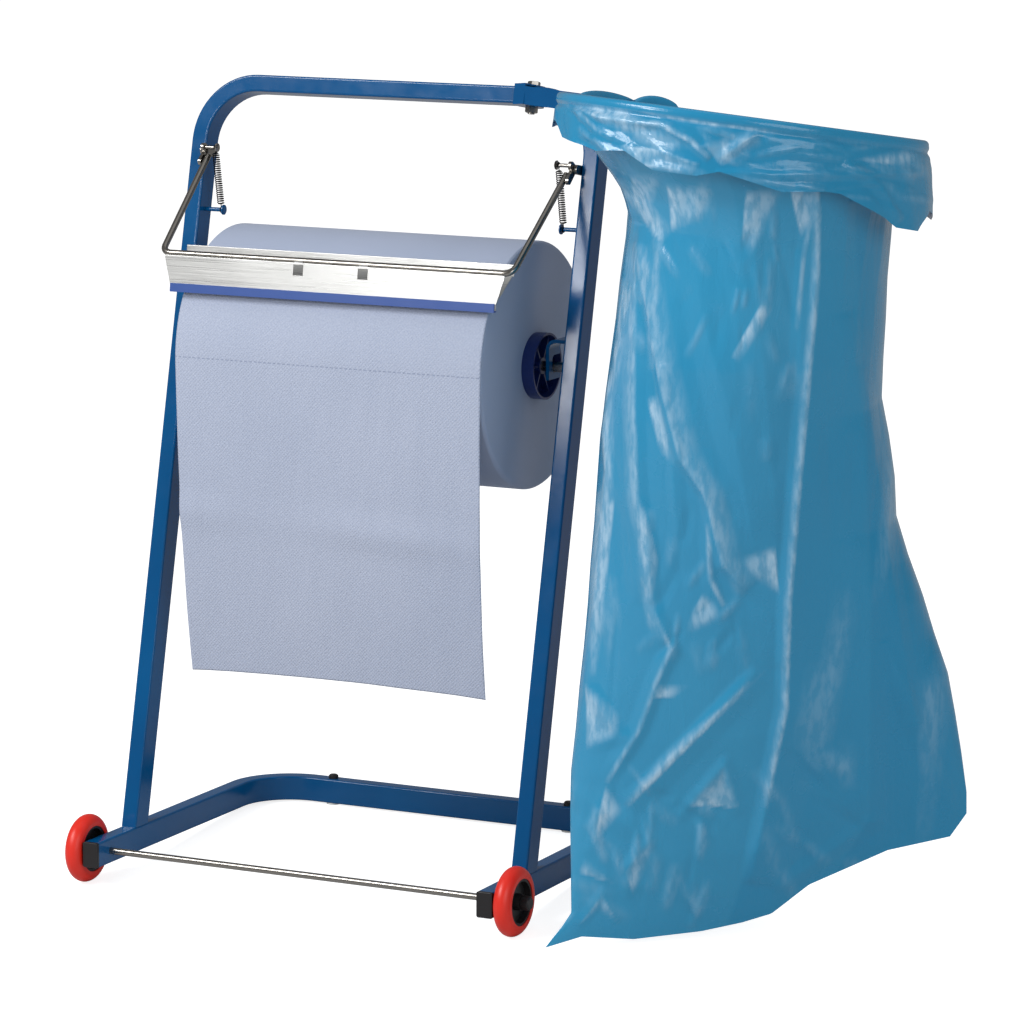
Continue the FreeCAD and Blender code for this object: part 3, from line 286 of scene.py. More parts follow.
def bag_film():
    """Thin glossy film. Its own attributes say where a highlight is painted on and how far it is darkened,
    partly where it lies double and partly as painted shade.
    """
    material, shader = finish("bag_film", shade(40, 138, 184), 0.2, Specular_IOR_Level=0.4, Coat_Weight=0.3,
                              Coat_Roughness=0.06)
    points = object_points(material)
    deeper = shade(38, 138, 182)
    lighter = shade(48, 147, 190)
    colours = colour_drift(material, shader, points, 3.0, deeper, lighter, detail=3.0)
    # Darker where the film lies double, and painted shade to the right of the long folds.
    layers_and_shade_node = add(material, "ShaderNodeAttribute", attribute_name="layers_and_shade")
    colours = colour_mix(material, layers_and_shade_node, "Fac", colours, shade(22, 132, 178))
    tall = object_points(material, (1.0, 1.0, 0.35))
    # Painted highlight: a pale colour, laid in streaks where the highlight attribute is.
    pale = add(material, "ShaderNodeAttribute", attribute_name="painted_highlight")
    highlight_streaks = noise_share(material, tall, 120.0, 9.0, 0.4, 0.6, 0.3, 0.85)
    share = material.node_tree.nodes.new("ShaderNodeMath")
    share.operation = "MULTIPLY"
    join(material, pale, "Fac", share, 0)
    join(material, highlight_streaks, "Result", share, 1)
    mix = colour_mix(material, share, "Value", colours, shade(176, 208, 230))
    material.node_tree.links.new(mix.outputs[2], shader.inputs["Base Color"])
    rough_drift(material, shader, points, 18.0, 0.16, 0.32)
    fine = add(material, "ShaderNodeTexNoise", Scale=26.0, Detail=6.0, Distortion=1.2, Roughness=0.6)
    join(material, tall, "Vector", fine, "Vector")
    soft = bump(material, shader, fine, "Fac", 0.18, 0.006)
    folds = add(material, "ShaderNodeTexVoronoi", Scale=26.0)
    folds.feature = "DISTANCE_TO_EDGE"
    bent = add(material, "ShaderNodeTexNoise", Scale=9.0, Detail=3.0)
    join(material, tall, "Vector", bent, "Vector")
    warped = material.node_tree.nodes.new("ShaderNodeMix")
    warped.data_type = "VECTOR"
    warped.inputs[0].default_value = 0.18
    join(material, tall, "Vector", warped, 4)
    join(material, bent, "Color", warped, 5)
    material.node_tree.links.new(warped.outputs[1], folds.inputs["Vector"])
    ridge = add(material, "ShaderNodeMapRange", From_Min=0.0, From_Max=0.06, To_Min=1.0, To_Max=0.0)
    join(material, folds, "Distance", ridge, "Value")
    ridges = bump(material, shader, ridge, "Result", 0.1, 0.001, soft)
    wrinkles = add(material, "ShaderNodeTexNoise", Scale=150.0, Detail=8.0, Roughness=0.65, Distortion=1.5)
    join(material, tall, "Vector", wrinkles, "Vector")
    highlight_wrinkles = material.node_tree.nodes.new("ShaderNodeMath")
    highlight_wrinkles.operation = "MULTIPLY"
    join(material, pale, "Fac", highlight_wrinkles, 0)
    join(material, wrinkles, "Fac", highlight_wrinkles, 1)
    bump(material, shader, highlight_wrinkles, "Value", 0.6, 0.0012, ridges)
    return material


roll_middle = middle("roll_shaft")
PERFORATION = 0.113

coating = blue_coating()
bright_zinc = zinc("bright_zinc", shade(150, 146, 140), 0.2, 0.34, (1, 1, 1))
pale_pad = moulded("pale_pad", shade(226, 226, 222), 0.4, 0.55)
plate_finish = brushed_plate()
strip_plastic = moulded("strip_plastic", shade(40, 76, 148), 0.35, 0.45)
black_plastic = moulded("black_plastic", shade(24, 22, 24), 0.35, 0.5)
plug_plastic = moulded("plug_plastic", shade(20, 40, 98), 0.25, 0.4)
wheel_rubber = moulded("wheel_rubber", shade(228, 40, 22), 0.3, 0.45, 600.0, 0.1)
spring_steel = zinc("spring_steel", shade(26, 24, 24), 0.35, 0.5, (1, 1, 1))
core_board = moulded("core_board", shade(176, 166, 150), 0.8, 0.95, 300.0, 0.4)
towel = sheet_paper(PERFORATION)
wound_paper = roll_paper(roll_middle)
film = bag_film()

CAD_FINISHES = {
    "base_frame": coating, "upright_frame": coating, "bag_bracket": coating, "roll_hook": coating,
    "spring_stud": coating, "axle_rod": bright_zinc, "roll_shaft": bright_zinc, "tear_bar_rod": bright_zinc,
    "bag_hoop": bright_zinc, "holder_bolt": bright_zinc, "holder_nut": bright_zinc,
    "axle_washer": bright_zinc, "pivot_lug": bright_zinc, "pivot_pin": bright_zinc,
    "crank": bright_zinc, "spring_pin": bright_zinc, "tear_plate": plate_finish,
    "tear_strip": strip_plastic, "end_plug": black_plastic, "rear_foot": pale_pad,
    "foot_cap": black_plastic, "hub": black_plastic, "axle_cap": black_plastic,
    "core_plug": plug_plastic, "tyre": wheel_rubber, "roll_core": core_board,
    "spring": spring_steel, "paper_roll": wound_paper, "hanging_sheet": towel, "waste_bag": film,
}
for name, piece in nodes.items():
    plain = name.removeprefix("left_").removeprefix("right_")
    for slot in piece.material_slots:
        slot.material = CAD_FINISHES[plain]


# Mesh helpers
def add_mesh(name, points, faces, material, smooth=True):
    """New object from points and faces, in one material."""
    mesh = bpy.data.meshes.new(name)
    mesh.from_pydata([tuple(float(v) for v in p) for p in points], [], faces)
    mesh.validate()
    mesh.materials.append(material)
    if smooth:
        mesh.polygons.foreach_set("use_smooth", [True] * len(mesh.polygons))
    piece = bpy.data.objects.new(name, mesh)
    bpy.context.scene.collection.objects.link(piece)
    return piece


def bake(piece):
    """The piece with its modifiers turned into plain mesh."""
    bpy.context.view_layer.update()
    evaluated = piece.evaluated_get(bpy.context.evaluated_depsgraph_get())
    mesh = bpy.data.meshes.new_from_object(evaluated)
    piece.modifiers.clear()
    piece.data = mesh
    return piece


def grid_faces(rows, columns, closed):
    """Quads of a grid whose columns may close on themselves."""
    faces = []
    last = columns if closed else columns - 1
    for row in range(rows - 1):
        for column in range(last):
            following = (column + 1) % columns
            a = row * columns + column
            b = row * columns + following
            faces.append((a, b, b + columns, a + columns))
    return faces


# Waste bag, in millimetres. Folds are placed as they are seen on the hoop's upright plane.
def unit(x, y, z):
    """Direction as an array of length one."""
    way = np.array((x, y, z), float)
    return way / np.linalg.norm(way)


HOOP = np.array(middle("bag_hoop")) / MM
HOOP_SLOPE = (0.081, 0.1296)
NORMAL = unit(*turned(*HOOP_SLOPE, 1))
BAG_YAW = math.radians(26.0)
WIDTH = np.array((math.cos(BAG_YAW), math.sin(BAG_YAW), 0))
DEPTH = np.array((-math.sin(BAG_YAW), math.cos(BAG_YAW), 0))
UP = np.array((0.0, 0.0, 1.0))
CAMERA_PLACE = at(2516.93, -4630.87, 1369.33)
EYE = np.array(CAMERA_PLACE) / MM
RING = 198.0
ROD = 4.5
FILM_GAP = 1.0
# How far forward the bottom hangs at the middle, and how much less per millimetre to the right
FORWARD_HANG = 36
HANG_SLOPE = 0.15
PLEATS = 17
ARM_ANGLE = math.radians(128)
# Edges of the body: height, then left and right of the hoop's middle
BAG_EDGES = (
    (929, -193, 193), (884, -160, 185), (860, -143, 178), (845, -134, 172), (830, -129, 166),
    (813, -125, 162), (786, -128, 160), (742, -135, 156), (697, -141, 154), (653, -148, 151),
    (608, -155, 149), (564, -161, 157), (519, -165, 163), (473, -169, 165), (428, -174, 178),
    (382, -178, 194), (337, -183, 207), (291, -189, 222), (245, -194, 230), (199, -200, 237),
    (152, -202, 243), (40, -203, 243), (26, -213, 243), (12, -225, 243), (0, -235, 243),
)
# Bottom seam: place across, height
BAG_SEAM = (
    (-235, 2), (-192, 13), (-134, 6), (-58, 10), (-12, 17), (21, 25), (64, 56), (153, 90), (224, 101),
    (244, 128),
)
# Half the depth of the body, by the share of the way down
BAG_DEPTH = (
    (0.0, 192), (0.05, 180), (0.1, 164), (0.15, 156), (0.3, 152), (0.45, 136), (0.6, 112), (0.75, 80),
    (0.9, 38), (1.0, 2.0),
)
# Lower edge of the cuff in front: place across, height
CUFF_EDGE = (
    (-199, 925), (-191, 900), (-155, 885), (-125, 885), (-96, 864), (-50, 857), (-25, 861), (41, 838),
    (88, 837), (104, 834), (151, 807), (163, 796), (186, 791), (199, 812),
)


def table(rows, column=1):
    """Function that reads one column of a table by its first column."""
    keys = np.array([row[0] for row in rows], float)
    values = np.array([row[column] for row in rows], float)
    order = np.argsort(keys)
    return lambda value: np.interp(value, keys[order], values[order])


left_edge, right_edge = table(BAG_EDGES, 1), table(BAG_EDGES, 2)
seam_height, bag_depth, cuff_edge = table(BAG_SEAM), table(BAG_DEPTH), table(CUFF_EDGE)


def seen_on_plane(points):
    """Across and height where the photo's camera sees each point against the hoop's upright plane."""
    away = points - EYE
    reach = ((HOOP - EYE) @ DEPTH) / (away @ DEPTH)
    hit = EYE + away * reach[:, None]
    return (hit - HOOP) @ WIDTH, hit[:, 2]


def beside_line(across, height, line):
    """Distance to a broken line, side (positive to its right going down), way along it and its length."""
    best = np.full(across.shape, 1e9)
    side = np.zeros(across.shape)
    along = np.zeros(across.shape)
    run = 0.0
    for (x0, z0), (x1, z1) in zip(line, line[1:]):
        long = math.hypot(x1 - x0, z1 - z0)
        tx, tz = (x1 - x0) / long, (z1 - z0) / long
        s = np.clip((across - x0) * tx + (height - z0) * tz, 0, long)
        gap_x = across - x0 - tx * s
        gap_z = height - z0 - tz * s
        gap = np.hypot(gap_x, gap_z)
        closer = gap < best
        best = np.where(closer, gap, best)
        side = np.where(closer, np.sign(-gap_x * tz + gap_z * tx), side)
        along = np.where(closer, run + s, along)
        run += long
    return best, side, along, run


def crease(across, height, line, high, left, right, ease=40.0):
    """Sharp fold along a line, sloping off over its own width on either side."""
    gap, side, along, run = beside_line(across, height, line)
    wide = np.where(side > 0, right, left)
    ends = np.clip(along / ease, 0, 1) * np.clip((run - along) / ease, 0, 1)
    crest_radius = 1.6
    rounded = np.sqrt(gap ** 2 + crest_radius ** 2) - crest_radius
    return high * np.clip(1 - rounded / wide, 0, 1) ** 1.15 * np.sqrt(ends)


def inside(across, height, corners, soft=2.5):
    """One at a convex patch's first edge, fading across the patch and over its other edges."""
    turn = 0.0
    for (x0, z0), (x1, z1) in zip(corners, corners[1:] + corners[:1]):
        turn += x0 * z1 - x1 * z0
    way = 1 if turn > 0 else -1
    share = np.ones(across.shape)
    for number, ((x0, z0), (x1, z1)) in enumerate(zip(corners, corners[1:] + corners[:1])):
        long = math.hypot(x1 - x0, z1 - z0)
        depth = way * ((x1 - x0) * (height - z0) - (z1 - z0) * (across - x0)) / long
        share *= np.clip(depth / (soft if number == 0 else 4 * soft) + 0.3, 0, 1)
        if number == 0:
            share *= 0.4 + 0.6 * np.exp(-np.clip(depth, 0, None) / 18)
    return share


# Folds: broken line, height of the crest, width to its left and to its right
BODY_FOLDS = (
    (((-116, 785), (-117, 709), (-120, 604), (-118, 500), (-107, 442), (-106, 378)), 7, 26, 9),
    (((-114, 800), (-93, 649), (-70, 542), (-45, 501), (-26, 420), (-1, 390)), 7, 9, 34),
    (((-91, 649), (-89, 598), (-80, 557), (-79, 500), (-75, 451)), 3.5, 8, 12),
    (((-131, 745), (-135, 673), (-153, 607), (-153, 529), (-164, 414), (-170, 339)), 4, 9, 18),
    (((-43, 480), (-41, 403), (-26, 360)), 3, 10, 8),
    (((-167, 395), (-180, 285), (-145, 226), (-181, 213)), 4, 12, 12),
    (((12, 300), (-66, 219), (-140, 146)), 5, 9, 22),
    (((-108, 385), (-84, 325), (-102, 285), (-121, 233), (-160, 170)), 5, 14, 9),
    (((-160, 172), (-178, 98), (-190, 90)), 3, 8, 12),
    (((-190, 80), (-159, 55)), 3, 8, 8),
    (((-108, 110), (-139, 70), (-137, 36)), 4, 9, 9),
    (((-214, 24), (-192, 9), (-167, 41), (-150, 8)), 3, 8, 8),
    (((-80, 128), (-28, 190), (-12, 130)), 4, 9, 9),
    (((79, 850), (77, 743), (60, 559), (45, 378), (41, 253), (17, 139), (0, 50)), 9, 12, 42),
    (((75, 827), (64, 767), (56, 640)), 3, 8, 7),
    (((112, 700), (128, 560), (134, 376), (132, 116)), 4, 26, 20),
    (((125, 640), (147, 489), (166, 349), (186, 222)), 4, 18, 12),
    (((150, 330), (200, 200), (233, 122)), 4, 16, 10),
    (((150, 128), (118, 108), (26, 40)), 3, 10, 14),
    (((10, 850), (16, 700), (30, 520), (36, 300)), 3, 34, 26),
    (((-60, 800), (-44, 700), (-10, 560), (8, 430)), 3, 22, 26),
    (((-210, 170), (-120, 110), (-40, 30)), 2.5, 16, 16),
)
CUFF_FOLDS = (
    (((-183, 935), (-153, 921), (-114, 913), (-91, 912), (-57, 893), (-36, 873)), 3.5, 6, 10),
    (((-183, 934), (-159, 910), (-140, 896)), 3, 6, 6),
    (((-164, 903), (-143, 882), (-124, 875)), 3, 6, 6),
    (((-125, 889), (-103, 867), (-54, 858)), 3, 6, 6),
    (((-95, 884), (-47, 866)), 2.5, 6, 5),
    (((22, 905), (-25, 873)), 3.5, 7, 7),
    (((-30, 859), (40, 854), (127, 853), (195, 854)), 2.2, 6, 3),
    (((110, 868), (150, 838), (172, 800)), 3, 8, 6),
    (((57, 843), (90, 836)), 2, 4, 4),
    (((150, 890), (196, 870)), 2, 6, 6),
)
# Where a highlight is painted on the film: patches, then bands along lines with their widths left and right
HIGHLIGHT_PATCHES = (
    ((-145, 495), (-155, 399), (-171, 296), (-176, 296), (-168, 496)),
    ((-182, 213), (-181, 285), (-144, 249), (-147, 226)),
    ((-105, 387), (-92, 358), (-82, 324), (-112, 352), (-119, 427), (-115, 461)),
    ((-110, 483), (-99, 432), (-105, 387), (-119, 427), (-122, 495)),
    ((-78, 341), (-58, 374), (-50, 400), (-39, 379), (-25, 370), (-42, 351)),
    ((31, 438), (36, 358), (-1, 410), (-20, 422)),
    ((7, 285), (-134, 144), (-141, 144), (-94, 205)),
    ((-87, 268), (-106, 269), (-103, 283), (-71, 280)),
    ((-14, 139), (-67, 143), (-50, 166), (-27, 189)),
    ((-133, 42), (-140, 63), (-124, 92), (-106, 104), (-116, 74)),
    ((-158, 55), (-192, 67), (-185, 80)),
    ((-190, 11), (-167, 40), (-170, 27)),
    ((-167, 40), (-151, 10), (-170, 27)),
    ((-236, -4), (-209, 23), (-198, 20), (-216, 0)),
    ((-174, 105), (-162, 165), (-143, 139)),
    ((-118, 824), (-123, 857), (-90, 854), (-105, 807)),
    ((-79, 796), (-82, 845), (-33, 839), (-42, 809)),
    ((-1, 789), (3, 835), (45, 839), (34, 815), (7, 766)),
    ((61, 787), (51, 837), (78, 837), (75, 803)),
    ((-14, 656), (17, 711), (29, 706), (-6, 650)),
    ((-95, 551), (-108, 607), (-94, 613), (-81, 562), (-78, 536)),
    ((-152, 608), (-130, 736), (-114, 730), (-143, 630)),
    ((-89, 782), (-123, 835), (-112, 841), (-79, 796)),
)
CUFF_HIGHLIGHT_PATCHES = (
    ((-179, 935), (-127, 930), (-57, 886), (-95, 881)),
    ((-25, 866), (-41, 888), (13, 904), (19, 887)),
    ((-187, 941), (-138, 936), (-138, 929), (-179, 934)),
    ((-131, 890), (-84, 884), (-31, 852), (-117, 865)),
    ((56, 845), (56, 849), (89, 840), (86, 836)),
    ((127, 868), (160, 862), (192, 869), (182, 878)),
)
HIGHLIGHT_BANDS = (
    (((-138, 853), (-115, 820), (-90, 786)), 0.8, 3, 9),
    (((-90, 786), (-96, 700), (-100, 640)), 0.5, 8, 3),
    (((-116, 785), (-117, 709), (-120, 604), (-118, 500), (-107, 442), (-106, 378)), 0.6, 14, 2),
    (((-114, 780), (-93, 649), (-70, 542), (-45, 501), (-26, 420), (-1, 390)), 0.55, 1.5, 22),
    (((-131, 745), (-135, 673), (-153, 607), (-153, 529), (-164, 414), (-170, 339)), 0.75, 3, 9),
    (((79, 850), (77, 743), (60, 559), (45, 378), (41, 253), (17, 139)), 0.7, 6, 2),
    (((75, 827), (64, 767), (56, 682)), 0.5, 2, 2),
    (((2, 285), (-66, 219), (-137, 146)), 0.9, 2, 4),
    (((-108, 375), (-84, 325), (-102, 285), (-121, 233), (-160, 170)), 0.5, 4, 2),
    (((-43, 469), (-41, 403), (-26, 371)), 0.8, 2, 3),
)
CUFF_HIGHLIGHT_BANDS = (
    (((-183, 937), (-178, 938), (-118, 929), (-81, 920), (-33, 911), (30, 902)), 0.9, 1.5, 1.5),
    (((-183, 935), (-153, 921), (-114, 913), (-91, 912), (-57, 893), (-36, 873)), 0.95, 1.5, 4),
    (((-183, 934), (-159, 910), (-148, 902)), 0.8, 2, 2),
    (((-160, 898), (-143, 882), (-124, 875)), 0.9, 2, 2),
    (((-125, 885), (-103, 867), (-54, 858)), 0.9, 2, 3),
    (((-90, 882), (-47, 866)), 0.8, 1.2, 1.5),
    (((18, 902), (-23, 875)), 0.9, 2, 2),
    (((57, 843), (88, 836)), 0.8, 1.2, 1.2),
)
# Crinkles: middle and reach across, middle and reach in height, how many, length, width, crest,
# lean and spread in degrees
CRINKLES = (
    (-40, 75, 750, 90, 26, 46, 7, 1.8, 5, 35), (-148, 16, 480, 200, 12, 110, 8, 2.2, 3, 8),
    (-60, 55, 395, 90, 20, 48, 7, 1.8, -15, 35), (-130, 85, 90, 80, 34, 52, 8, 2.6, 25, 50),
    (140, 75, 380, 260, 16, 210, 20, 2.4, -4, 8), (60, 60, 140, 90, 12, 70, 10, 2.0, 30, 30),
    (20, 40, 640, 130, 10, 60, 9, 1.4, 0, 16),
)
CUFF_CRINKLES = (
    (-120, 60, 915, 25, 22, 40, 5, 1.2, 65, 25), (-40, 50, 885, 25, 18, 36, 5, 1.2, 60, 30),
    (60, 80, 880, 30, 22, 60, 5, 1.0, 80, 20), (100, 90, 845, 20, 18, 60, 4, 1.0, 85, 15),
    (170, 25, 860, 45, 14, 50, 6, 1.2, 60, 30), (-170, 20, 925, 22, 10, 26, 5, 1.2, 50, 30),
)


def crinkle(across, height, zones, seed):
    """Many small straight folds scattered over zones."""
    draw = random.Random(seed)
    total = np.zeros(across.shape)
    for x, wide_x, z, wide_z, count, long, wide, high, lean, spread in zones:
        for _ in range(count):
            cx = x + draw.uniform(-wide_x, wide_x)
            cz = z + draw.uniform(-wide_z, wide_z)
            angle = math.radians(lean + draw.uniform(-spread, spread))
            reach = long * draw.uniform(0.5, 1.3) / 2
            half = wide * draw.uniform(0.6, 1.4)
            crest = high * draw.uniform(0.4, 1.2) * draw.choice((1, 1, -1))
            dx = across - cx
            dz = height - cz
            off = np.abs(dx * math.cos(angle) + dz * math.sin(angle))
            on = np.abs(dz * math.cos(angle) - dx * math.sin(angle))
            total += crest * np.clip(1 - off / half, 0, 1) * np.clip(1 - (on / reach) ** 2, 0, 1)
    return total


def layers_and_shade_share(across, height):
    """How far the film is darkened to the right of the long folds and at the left edge, partly where layers
    lie behind and partly as painted shade.
    """
    fold = table(((850, 79), (743, 77), (559, 60), (378, 45), (253, 41), (139, 17), (0, -30)))(height)
    right = np.clip((across - fold) / 5, 0, 1) * np.clip((860 - height) / 300, 0.35, 1)
    second = table(((850, 118), (700, 122), (376, 134), (126, 132), (0, 60)))(height)
    left = table(((850, -131), (735, -131), (607, -152), (414, -164), (339, -170), (0, -230)))(height)
    share = 0.5 * right + 0.35 * np.clip((across - second) / 4, 0, 1)
    return share + 0.55 * np.clip((left - across) / 5, 0, 1)


def highlight_share(across, height, patches, bands):
    """How strong the painted highlight is from its patches and bands, from 0 to 1."""
    pale = np.zeros(across.shape)
    for corners in patches:
        pale = np.maximum(pale, inside(across, height, corners))
    for line, level, left, right in bands:
        pale = np.maximum(pale, crease(across, height, line, level, left, right, 30.0))
    return pale


def tilted_ways():
    """The hoop's own directions, nearest to the bag's width and depth."""
    across = WIDTH - NORMAL * (NORMAL @ WIDTH)
    across /= np.linalg.norm(across)
    return across, np.cross(NORMAL, across)


def ring_angles(front, rear):
    """Angles round the bag, closer together on the side that faces forward."""
    back_part = np.arange(rear) * math.pi / rear
    front_part = math.pi + np.arange(front) * math.pi / front
    return np.concatenate([back_part, front_part])


def bag_body(rows, angles):
    """Film from the hoop's inside down to the bottom seam.

    Gives its points row by row, how much painted highlight each has, and how far each is darkened, partly
    where the film lies double and partly as painted shade.
    """
    across_way, deep_way = tilted_ways()
    columns = len(angles)
    angle = np.tile(angles, rows)
    share = np.repeat(np.linspace(0, 1, rows), columns)
    cos, sin = np.cos(angle), np.sin(angle)
    ring = RING - ROD - FILM_GAP
    top = np.outer(cos * ring, across_way) + np.outer(sin * ring, deep_way)
    w = ring * cos
    for _ in range(4):
        z = (HOOP[2] + top[:, 2]) * (1 - share) + seam_height(w) * share
        left, right = left_edge(z), right_edge(z)
        w = (left + right) / 2 + (right - left) / 2 * cos
    blend = np.clip(share / 0.05, 0, 1)
    w = w * blend + (top @ WIDTH) * (1 - blend)
    d = bag_depth(share) * sin * blend + (top @ DEPTH) * (1 - blend)
    d -= (FORWARD_HANG - HANG_SLOPE * w) * share ** 2
    half = (right - left) / 2
    out = np.stack([cos / half, sin / np.maximum(bag_depth(share), 20)], 1)
    out /= np.linalg.norm(out, axis=1)[:, None]
    way = out[:, :1] * WIDTH + out[:, 1:] * DEPTH
    points = np.array((HOOP[0], HOOP[1], 0)) + np.outer(w, WIDTH) + np.outer(d, DEPTH) + np.outer(z, UP)
    seen_w, seen_z = seen_on_plane(points)
    front = np.clip(-sin * 6, 0, 1)
    rear = np.clip(sin * 6, 0, 1)
    push = np.zeros(len(points))
    for line, high, wide_left, wide_right in BODY_FOLDS:
        push += crease(seen_w, seen_z, line, high, wide_left, wide_right) * front
    push += crinkle(seen_w, seen_z, CRINKLES, 11) * front
    push += crinkle(w, z, CRINKLES, 5) * rear
    fan = 0.0
    draw = random.Random(3)
    for number in range(PLEATS):
        where = (number + draw.uniform(-0.3, 0.3)) * 2 * math.pi / PLEATS
        lean = draw.uniform(-0.5, 0.5)
        wide = draw.uniform(0.09, 0.17)
        high = draw.uniform(3, 9)
        away = np.abs((angle - where - lean * share + math.pi) % (2 * math.pi) - math.pi)
        shape = np.clip(1 - away / (wide * (1 + share)), 0, 1)
        fan = fan + high * shape * np.clip(share / 0.1, 0, 1) * np.exp(-(share / 0.3) ** 2)
    push += fan * (0.45 * front + rear)
    push *= np.clip(share / 0.03, 0, 1) * np.clip((1 - share) / 0.02, 0, 1) * (0.25 + 0.75 * np.abs(sin))
    points += way * push[:, None]
    # Painted highlight on the front's patches, bands and crinkles, and on the rear's crinkles.
    pale = highlight_share(seen_w, seen_z, HIGHLIGHT_PATCHES, HIGHLIGHT_BANDS) * front
    pale += 0.25 * np.clip(crinkle(seen_w, seen_z, CRINKLES, 11) / 2, 0, 1) * front
    pale += np.clip(crinkle(w, z, CRINKLES, 5) / 4, 0, 0.5) * rear
    # Darkening: partly for layers lying behind, partly painted shade.
    return points, pale, layers_and_shade_share(seen_w, seen_z)


def hump(share):
    """Rounded rise and fall from 0 to 1, and nothing outside it."""
    return np.where((share > 0) & (share < 1), np.abs(np.sin(math.pi * np.clip(share, 0, 1))) ** 0.55, 0)


def bag_cuff(rows, angles):
    """Film over the rod and down outside the hoop, from its inner edge to the cuff's lower edge."""
    across_way, deep_way = tilted_ways()
    columns = len(angles)
    angle = np.tile(angles, rows)
    row = np.repeat(np.arange(rows), columns)
    over = 10  # rows that lie over the rod
    cos, sin = np.cos(angle), np.sin(angle)
    ways = np.outer(cos, across_way) + np.outer(sin, deep_way)
    degrees = np.degrees(angle)
    lift = 9.5 * hump((degrees - 109) / 16.5) + 7.0 * hump((degrees - 125.5) / 27)
    turn = math.pi * (1 - np.minimum(row, over) / over)
    wrap = ROD + FILM_GAP
    radius = RING + wrap * np.cos(turn)
    rise = (wrap + lift) * np.sin(turn)
    fall_share = np.clip((row - over) / (rows - 1 - over), 0, 1)
    outer = HOOP + ways * (RING + wrap)
    seen_w, seen_z = seen_on_plane(outer)
    drop_front = np.maximum(seen_z - cuff_edge(seen_w), 8)
    first_row = zip(cos[:columns], sin[:columns])
    ripple = np.array([noise.noise(Vector((c * 3.1, s * 3.1, 8.4))) for c, s in first_row])
    drop_back = 56 + 22 * cos + 10 * np.tile(ripple, rows)
    front = np.clip(-sin * 4, 0, 1)
    drop = drop_front * front + drop_back * (1 - front)
    away = (angle - ARM_ANGLE + math.pi) % (2 * math.pi) - math.pi
    drop *= 1 - 0.93 * np.exp(-(away / 0.08) ** 2)
    fall = drop * fall_share
    pinch = 2.6 * np.exp(-((fall - 8) / 3.0) ** 2) * (fall > 0)
    flare = 5.0 * fall_share ** 0.8
    points = HOOP + ways * (radius + flare - pinch)[:, None] + np.outer(rise, NORMAL)
    points[:, 2] -= fall
    seen_w, seen_z = seen_on_plane(points)
    push = np.zeros(len(points))
    for line, high, wide_left, wide_right in CUFF_FOLDS:
        push += crease(seen_w, seen_z, line, high, wide_left, wide_right, 14.0) * front
    waves = [noise.noise(Vector((c * 5, s * 5, f * 0.02))) for c, s, f in zip(cos, sin, fall)]
    push += np.array(waves) * 4.0 * fall_share
    small = crinkle(seen_w, seen_z, CUFF_CRINKLES, 8)
    push += small
    push *= np.clip((fall - 6) / 10, 0, 1)
    points += ways * push[:, None]
    # Painted highlight on the cuff's patches, bands and crinkles; the whole cuff is darkened evenly where
    # the film lies double.
    pale = highlight_share(seen_w, seen_z, CUFF_HIGHLIGHT_PATCHES, CUFF_HIGHLIGHT_BANDS) + 0.2 * np.clip(small, 0, 1)
    return points, pale * front * np.clip(fall / 5 - 0.6, 0, 1), np.full(fall.shape, 0.55)


def bag_piece(name, shape, rows, angles):
    """One part of the bag as an object, with its faces turned outward."""
    points, pale, layers_and_shade = shape(rows, angles)
    faces = [face[::-1] for face in grid_faces(rows, len(angles), True)]
    piece = add_mesh(name, points * MM, faces, film)
    for label, values in (("painted_highlight", pale), ("layers_and_shade", layers_and_shade)):
        layer = piece.data.attributes.new(label, "FLOAT", "POINT")
        layer.data.foreach_set("value", values.astype(np.float32))
    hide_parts("waste_bag")
    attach(piece, "bag_holder")
    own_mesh(piece)


def waste_bag():
    """The bag: its body, and its cuff over the hoop."""
    front, rear, rows, cuff_rows = ((280, 90, 255, 48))
    bag_piece("waste_bag_film", bag_body, rows, ring_angles(front, rear))
    bag_piece("waste_bag_cuff", bag_cuff, cuff_rows, ring_angles(int(front * 1.4), rear * 2))


# Paper, drawn on the level stand in millimetres
ROLL_RADIUS = 143.5
SHEET_START = math.radians(134)
SHEET_BOTTOM = 243.0
SHEET_BACK = 30.0
SHEET_HALF = 197.0
LEVEL_ROLL_HEIGHT = 614.7
SHEET_OFF_ROLL = 0.75


def sheet_line(count):
    """Side line of the hanging paper, from under the tear bar to its lower end, as (forward, height)."""
    r = ROLL_RADIUS + SHEET_OFF_ROLL
    line = []
    for step in range(41):
        angle = SHEET_START + (math.pi - SHEET_START) * step / 40
        line.append((r * math.cos(angle), r * math.sin(angle)))
    drop = LEVEL_ROLL_HEIGHT - SHEET_BOTTOM
    swing = (drop ** 2 + SHEET_BACK ** 2) / (2 * SHEET_BACK)
    turn = math.asin(drop / swing)
    for step in range(1, count + 1):
        angle = turn * step / count
        line.append((-r + swing - swing * math.cos(angle), -swing * math.sin(angle)))
    return line


